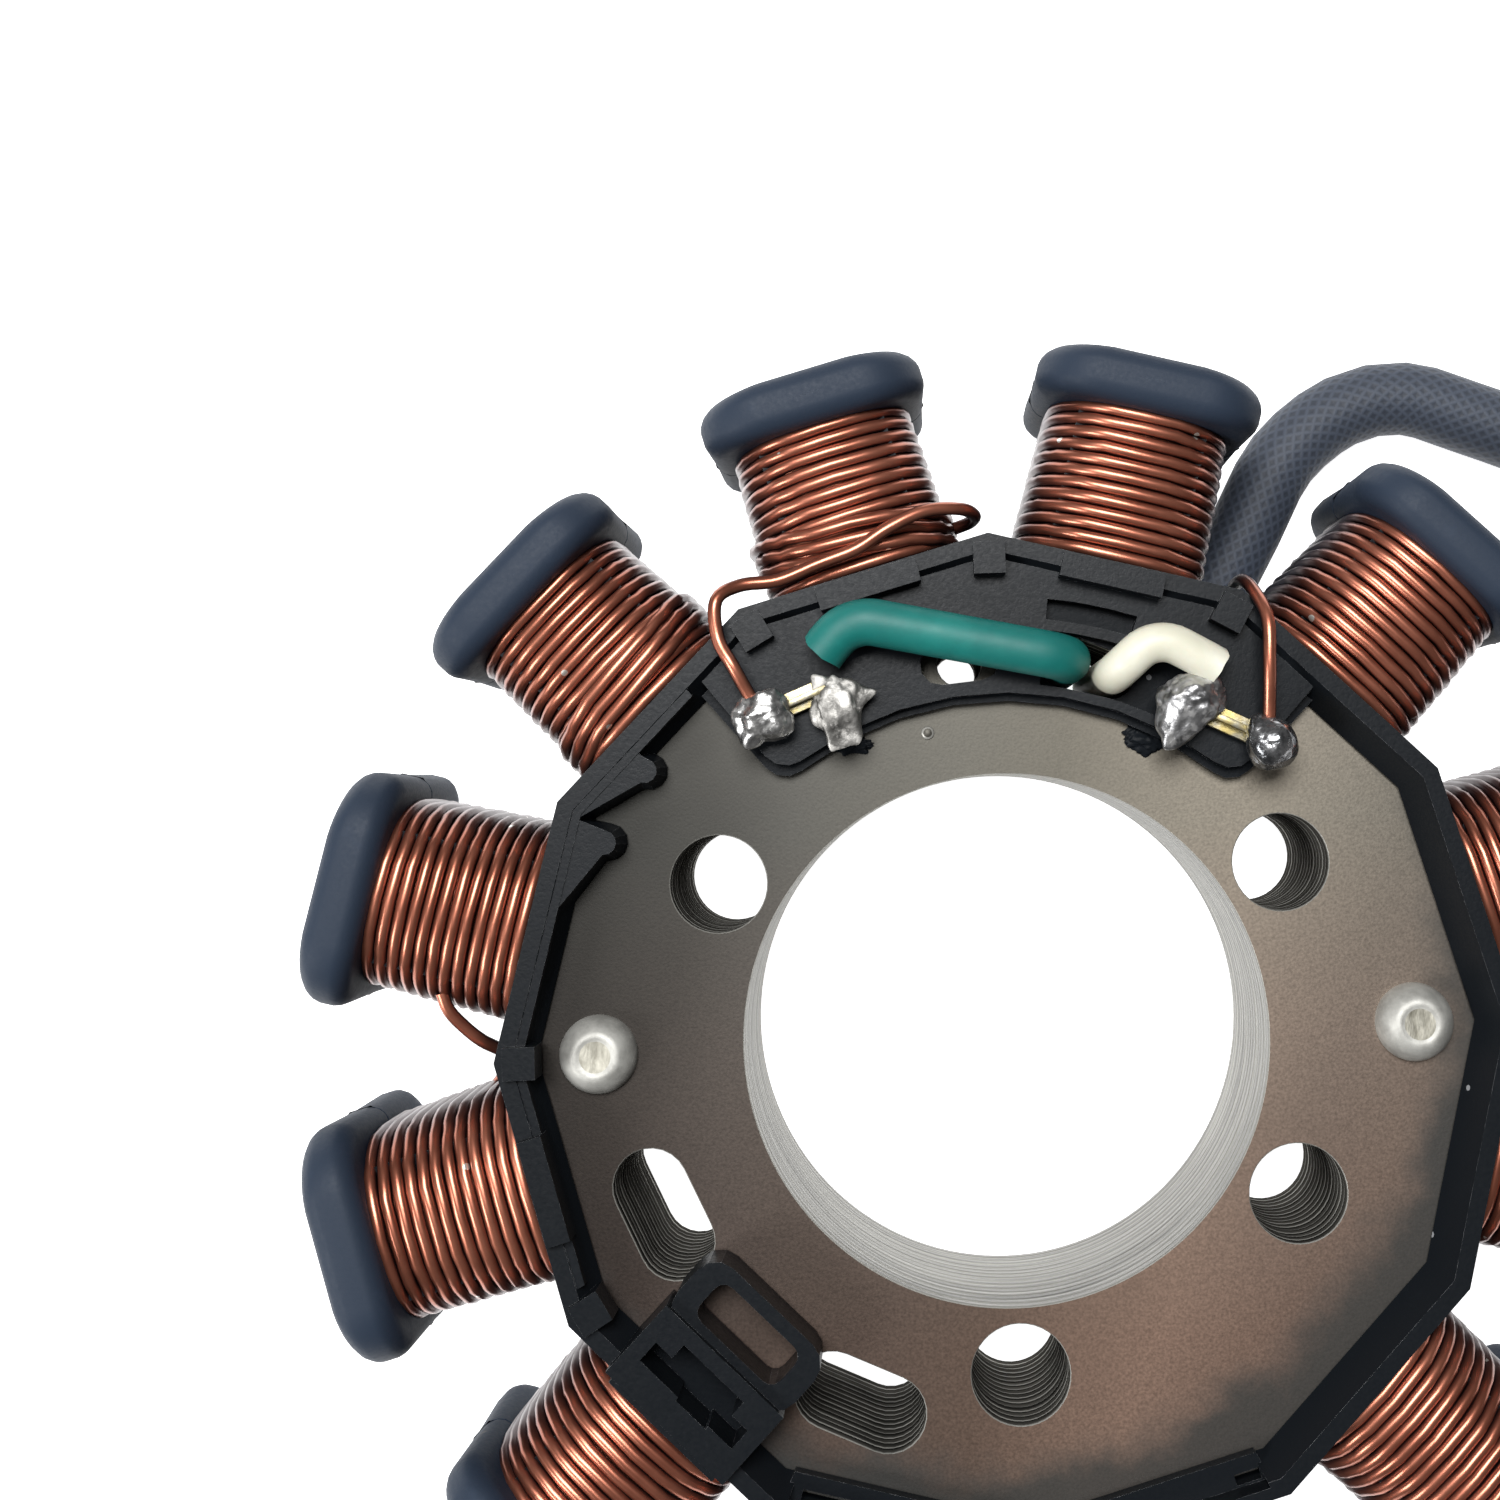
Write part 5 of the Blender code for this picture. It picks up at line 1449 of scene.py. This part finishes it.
# %% Lumps of solder
def lump_mesh(name, centre, size, seed, swell, rough, spikes):
    """A noisy ball, drawn out towards each of the spikes. Its place and size are in millimetres."""
    bm = bmesh.new()
    bmesh.ops.create_icosphere(bm, subdivisions=5, radius=1.0)
    broad, fine = Vector((seed, 0.0, 0.0)), Vector((0.0, seed, 0.0))
    for vert in bm.verts:
        way = vert.co.normalized()
        drift = noise.noise(way * 1.3 + broad) * swell + noise.noise(way * 4.0 + fine) * rough
        place = way * (1.0 + drift)
        for spike, sharpness in spikes:
            spike = Vector(spike)
            place += spike * max(0.0, way.dot(spike.normalized())) ** sharpness
        stretched = Vector(across * length for across, length in zip(place, size))
        vert.co = Vector(centre) * MM + stretched * MM / 2
    return mesh_from(bm, name, 80.0)


JOINTS = (  # node, solder, then what lump_mesh takes, its spikes as (way and reach, sharpness)
    ("solder_winding_left", "shiny", (-15.2, 21.8, 23.1), (3.8, 3.3, 2.6), 1.7, 0.32, 0.06,
     (((-0.2, -0.35, 0.0), 6),)),
    ("solder_lead_left", "pale", (-10.4, 22.4, 22.6), (3.3, 4.0, 1.3), 5.1, 0.30, 0.06,
     (((0.30, -0.40, 0.0), 8), ((0.50, 0.12, 0.0), 40), ((-0.15, -0.60, 0.0), 14),
      ((-0.35, 0.35, 0.0), 20))),
    ("solder_lead_right", "grey", (12.75, 21.8, 23.1), (4.3, 3.4, 2.6), 8.3, 0.16, 0.09,
     (((-0.42, -0.95, 0.1), 4), ((0.25, 0.15, 0.0), 6))),
    ("solder_winding_right", "dark", (17.95, 18.75, 23.2), (3.5, 3.5, 3.2), 2.9, 0.10, 0.03,
     (((-0.15, 0.25, 0.0), 8),)),
)


def build_joints():
    for node, solder, *shape in JOINTS:
        keep_piece(f"{node}_joint", lump_mesh(f"{node}_joint", *shape), SOLDERS[solder], node)


build_joints()
print("joints done")

# %% Terminal strips
STRIPS = (  # side, and both ends in millimetres
    ("left", (-14.6, 22.2), (-11.0, 23.6)),
    ("right", (13.4, 21.3), (17.2, 19.4)),
)
STRIP_LAYERS = ((21.55, 22.15, 0.75), (22.15, 23.0, 0.22))  # from, to and half width


def strip_mesh(name, start, end):
    """A flat strip with a narrow fold standing on it."""
    bm = bmesh.new()
    run = Vector((end[0] - start[0], end[1] - start[1], 0.0)).normalized()
    across = Vector((-run.y, run.x, 0.0))
    for low, high, half in STRIP_LAYERS:
        block = []
        for height in (low, high):
            for sign in (-1, 1):
                for at in (start, end):
                    place = Vector((*at, height)) * MM + across * (sign * half * MM)
                    block.append(bm.verts.new(place))
        bmesh.ops.convex_hull(bm, input=block)
    helper = linked(name, plain_mesh(bm, name))
    add_bevel(helper, 0.12 * MM, 40.0)
    rounded = evaluated(helper, name)
    rounded.shade_smooth()
    rounded.set_sharp_from_angle(angle=math.radians(50.0))
    return rounded


def build_strips():
    for side, start, end in STRIPS:
        mesh = strip_mesh(f"strip_{side}", start, end)
        keep_piece(f"strip_{side}", mesh, BRASS, f"terminal_{side}")


build_strips()
print("strips done")

# %% Winding ends
WIRE_ENDS = {  # places in millimetres
    "winding_end_left": (
        (-15.4, 21.9, 23.1), (-16.14, 23.27, 23.38), (-17.08, 25.14, 23.98), (-18.02, 27.01, 23.68),
        (-18.07, 29.5, 23.68), (-16.58, 30.53, 22.75), (-14.06, 30.81, 22.43),
        (-11.38, 31.81, 22.45), (-8.77, 32.74, 22.45), (-6.55, 34.08, 22.52), (-4.11, 35.15, 22.05),
        (-1.75, 35.35, 20.9), (-0.75, 35.15, 19.0), (-0.95, 34.95, 17.2), (-1.75, 34.8, 15.8),
        (-2.8, 34.6, 14.8)),
    "winding_end_right": (
        (17.8, 19.6, 23.1), (17.89, 21.24, 23.38), (17.95, 24.12, 23.98), (18.02, 27.01, 23.68),
        (17.52, 29.03, 21.82), (17.3, 29.96, 19.3), (17.28, 30.01, 16.78), (17.3, 29.96, 15.5)),
    "winding_link": (
        (-37.6, 4.4, 18.6), (-37.2, 3.2, 18.4), (-36.3, 2.0, 17.8), (-35.3, 0.95, 17.0),
        (-34.35, 0.0, 15.0), (-34.4, -0.8, 12.6), (-35.0, -1.9, 10.6), (-36.0, -3.1, 9.6)),
}


def build_wire_ends():
    for node, route in WIRE_ENDS.items():
        bm = bmesh.new()
        add_tube(bm, smooth_path([Vector(p) * MM for p in route], 0.4 * MM), WIRE / 2, 12)
        keep_piece(f"{node}_wire", mesh_from(bm, f"{node}_wire", 60.0), COPPER, node)


build_wire_ends()
print("wire ends done")

# %% [markdown]
# ## Marks on the face
# Two flakes of black plastic squeezed out from under the terminal plate when the insulator was
# fitted, and a struck dot marks the sheet beside them. They are flat lumps made like the joints.

# %% Flakes and dot
MARKS = (  # name, finish, then what lump_mesh takes
    ("flake_left", MOULDING, (-9.6, 19.9, 19.15), (2.7, 0.9, 0.45), 3.3, 0.5, 0.35,
     (((-0.2, -0.9, 0.0), 30), ((0.35, -0.8, 0.0), 30))),
    ("flake_right", MOULDING, (10.3, 19.7, 19.15), (3.0, 2.0, 0.6), 6.1, 0.35, 0.30,
     (((0.0, -0.25, 0.0), 20),)),
    ("struck_dot", STEEL, (-4.5, 20.45, 19.0), (0.9, 0.9, 0.5), 1.0, 0.0, 0.0, ()),
)


def build_marks():
    for name, finish, *shape in MARKS:
        keep_piece(name, lump_mesh(name, *shape), finish)


build_marks()
print("marks done")

# %% [markdown]
# ## The plug
# The far end of the sleeve carries a plain two-way housing of natural nylon with two pins. It
# lies outside the view, so its solids keep their shape and only get a finish.

# %% Plug
def natural_nylon():
    made, tree, shader = new_material("natural_nylon")
    amount, normal = grain(tree, 900.0, 0.02 * MM)
    aged = patches(tree, 120.0, 0.3, 0.7)
    set_inputs(
        tree, shader,
        Base_Color=blend_colours(tree, aged, (0.70, 0.68, 0.60), (0.62, 0.59, 0.50)),
        Roughness=maths(tree, "MULTIPLY_ADD", amount, 0.2, 0.35),
        Normal=normal,
    )
    return made


def finish_plug():
    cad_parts["connector_housing"].data.materials[0] = natural_nylon()
    for number in (1, 2):
        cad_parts[f"connector_pin_{number}"].data.materials[0] = BRASS


finish_plug()
print("plug finished")
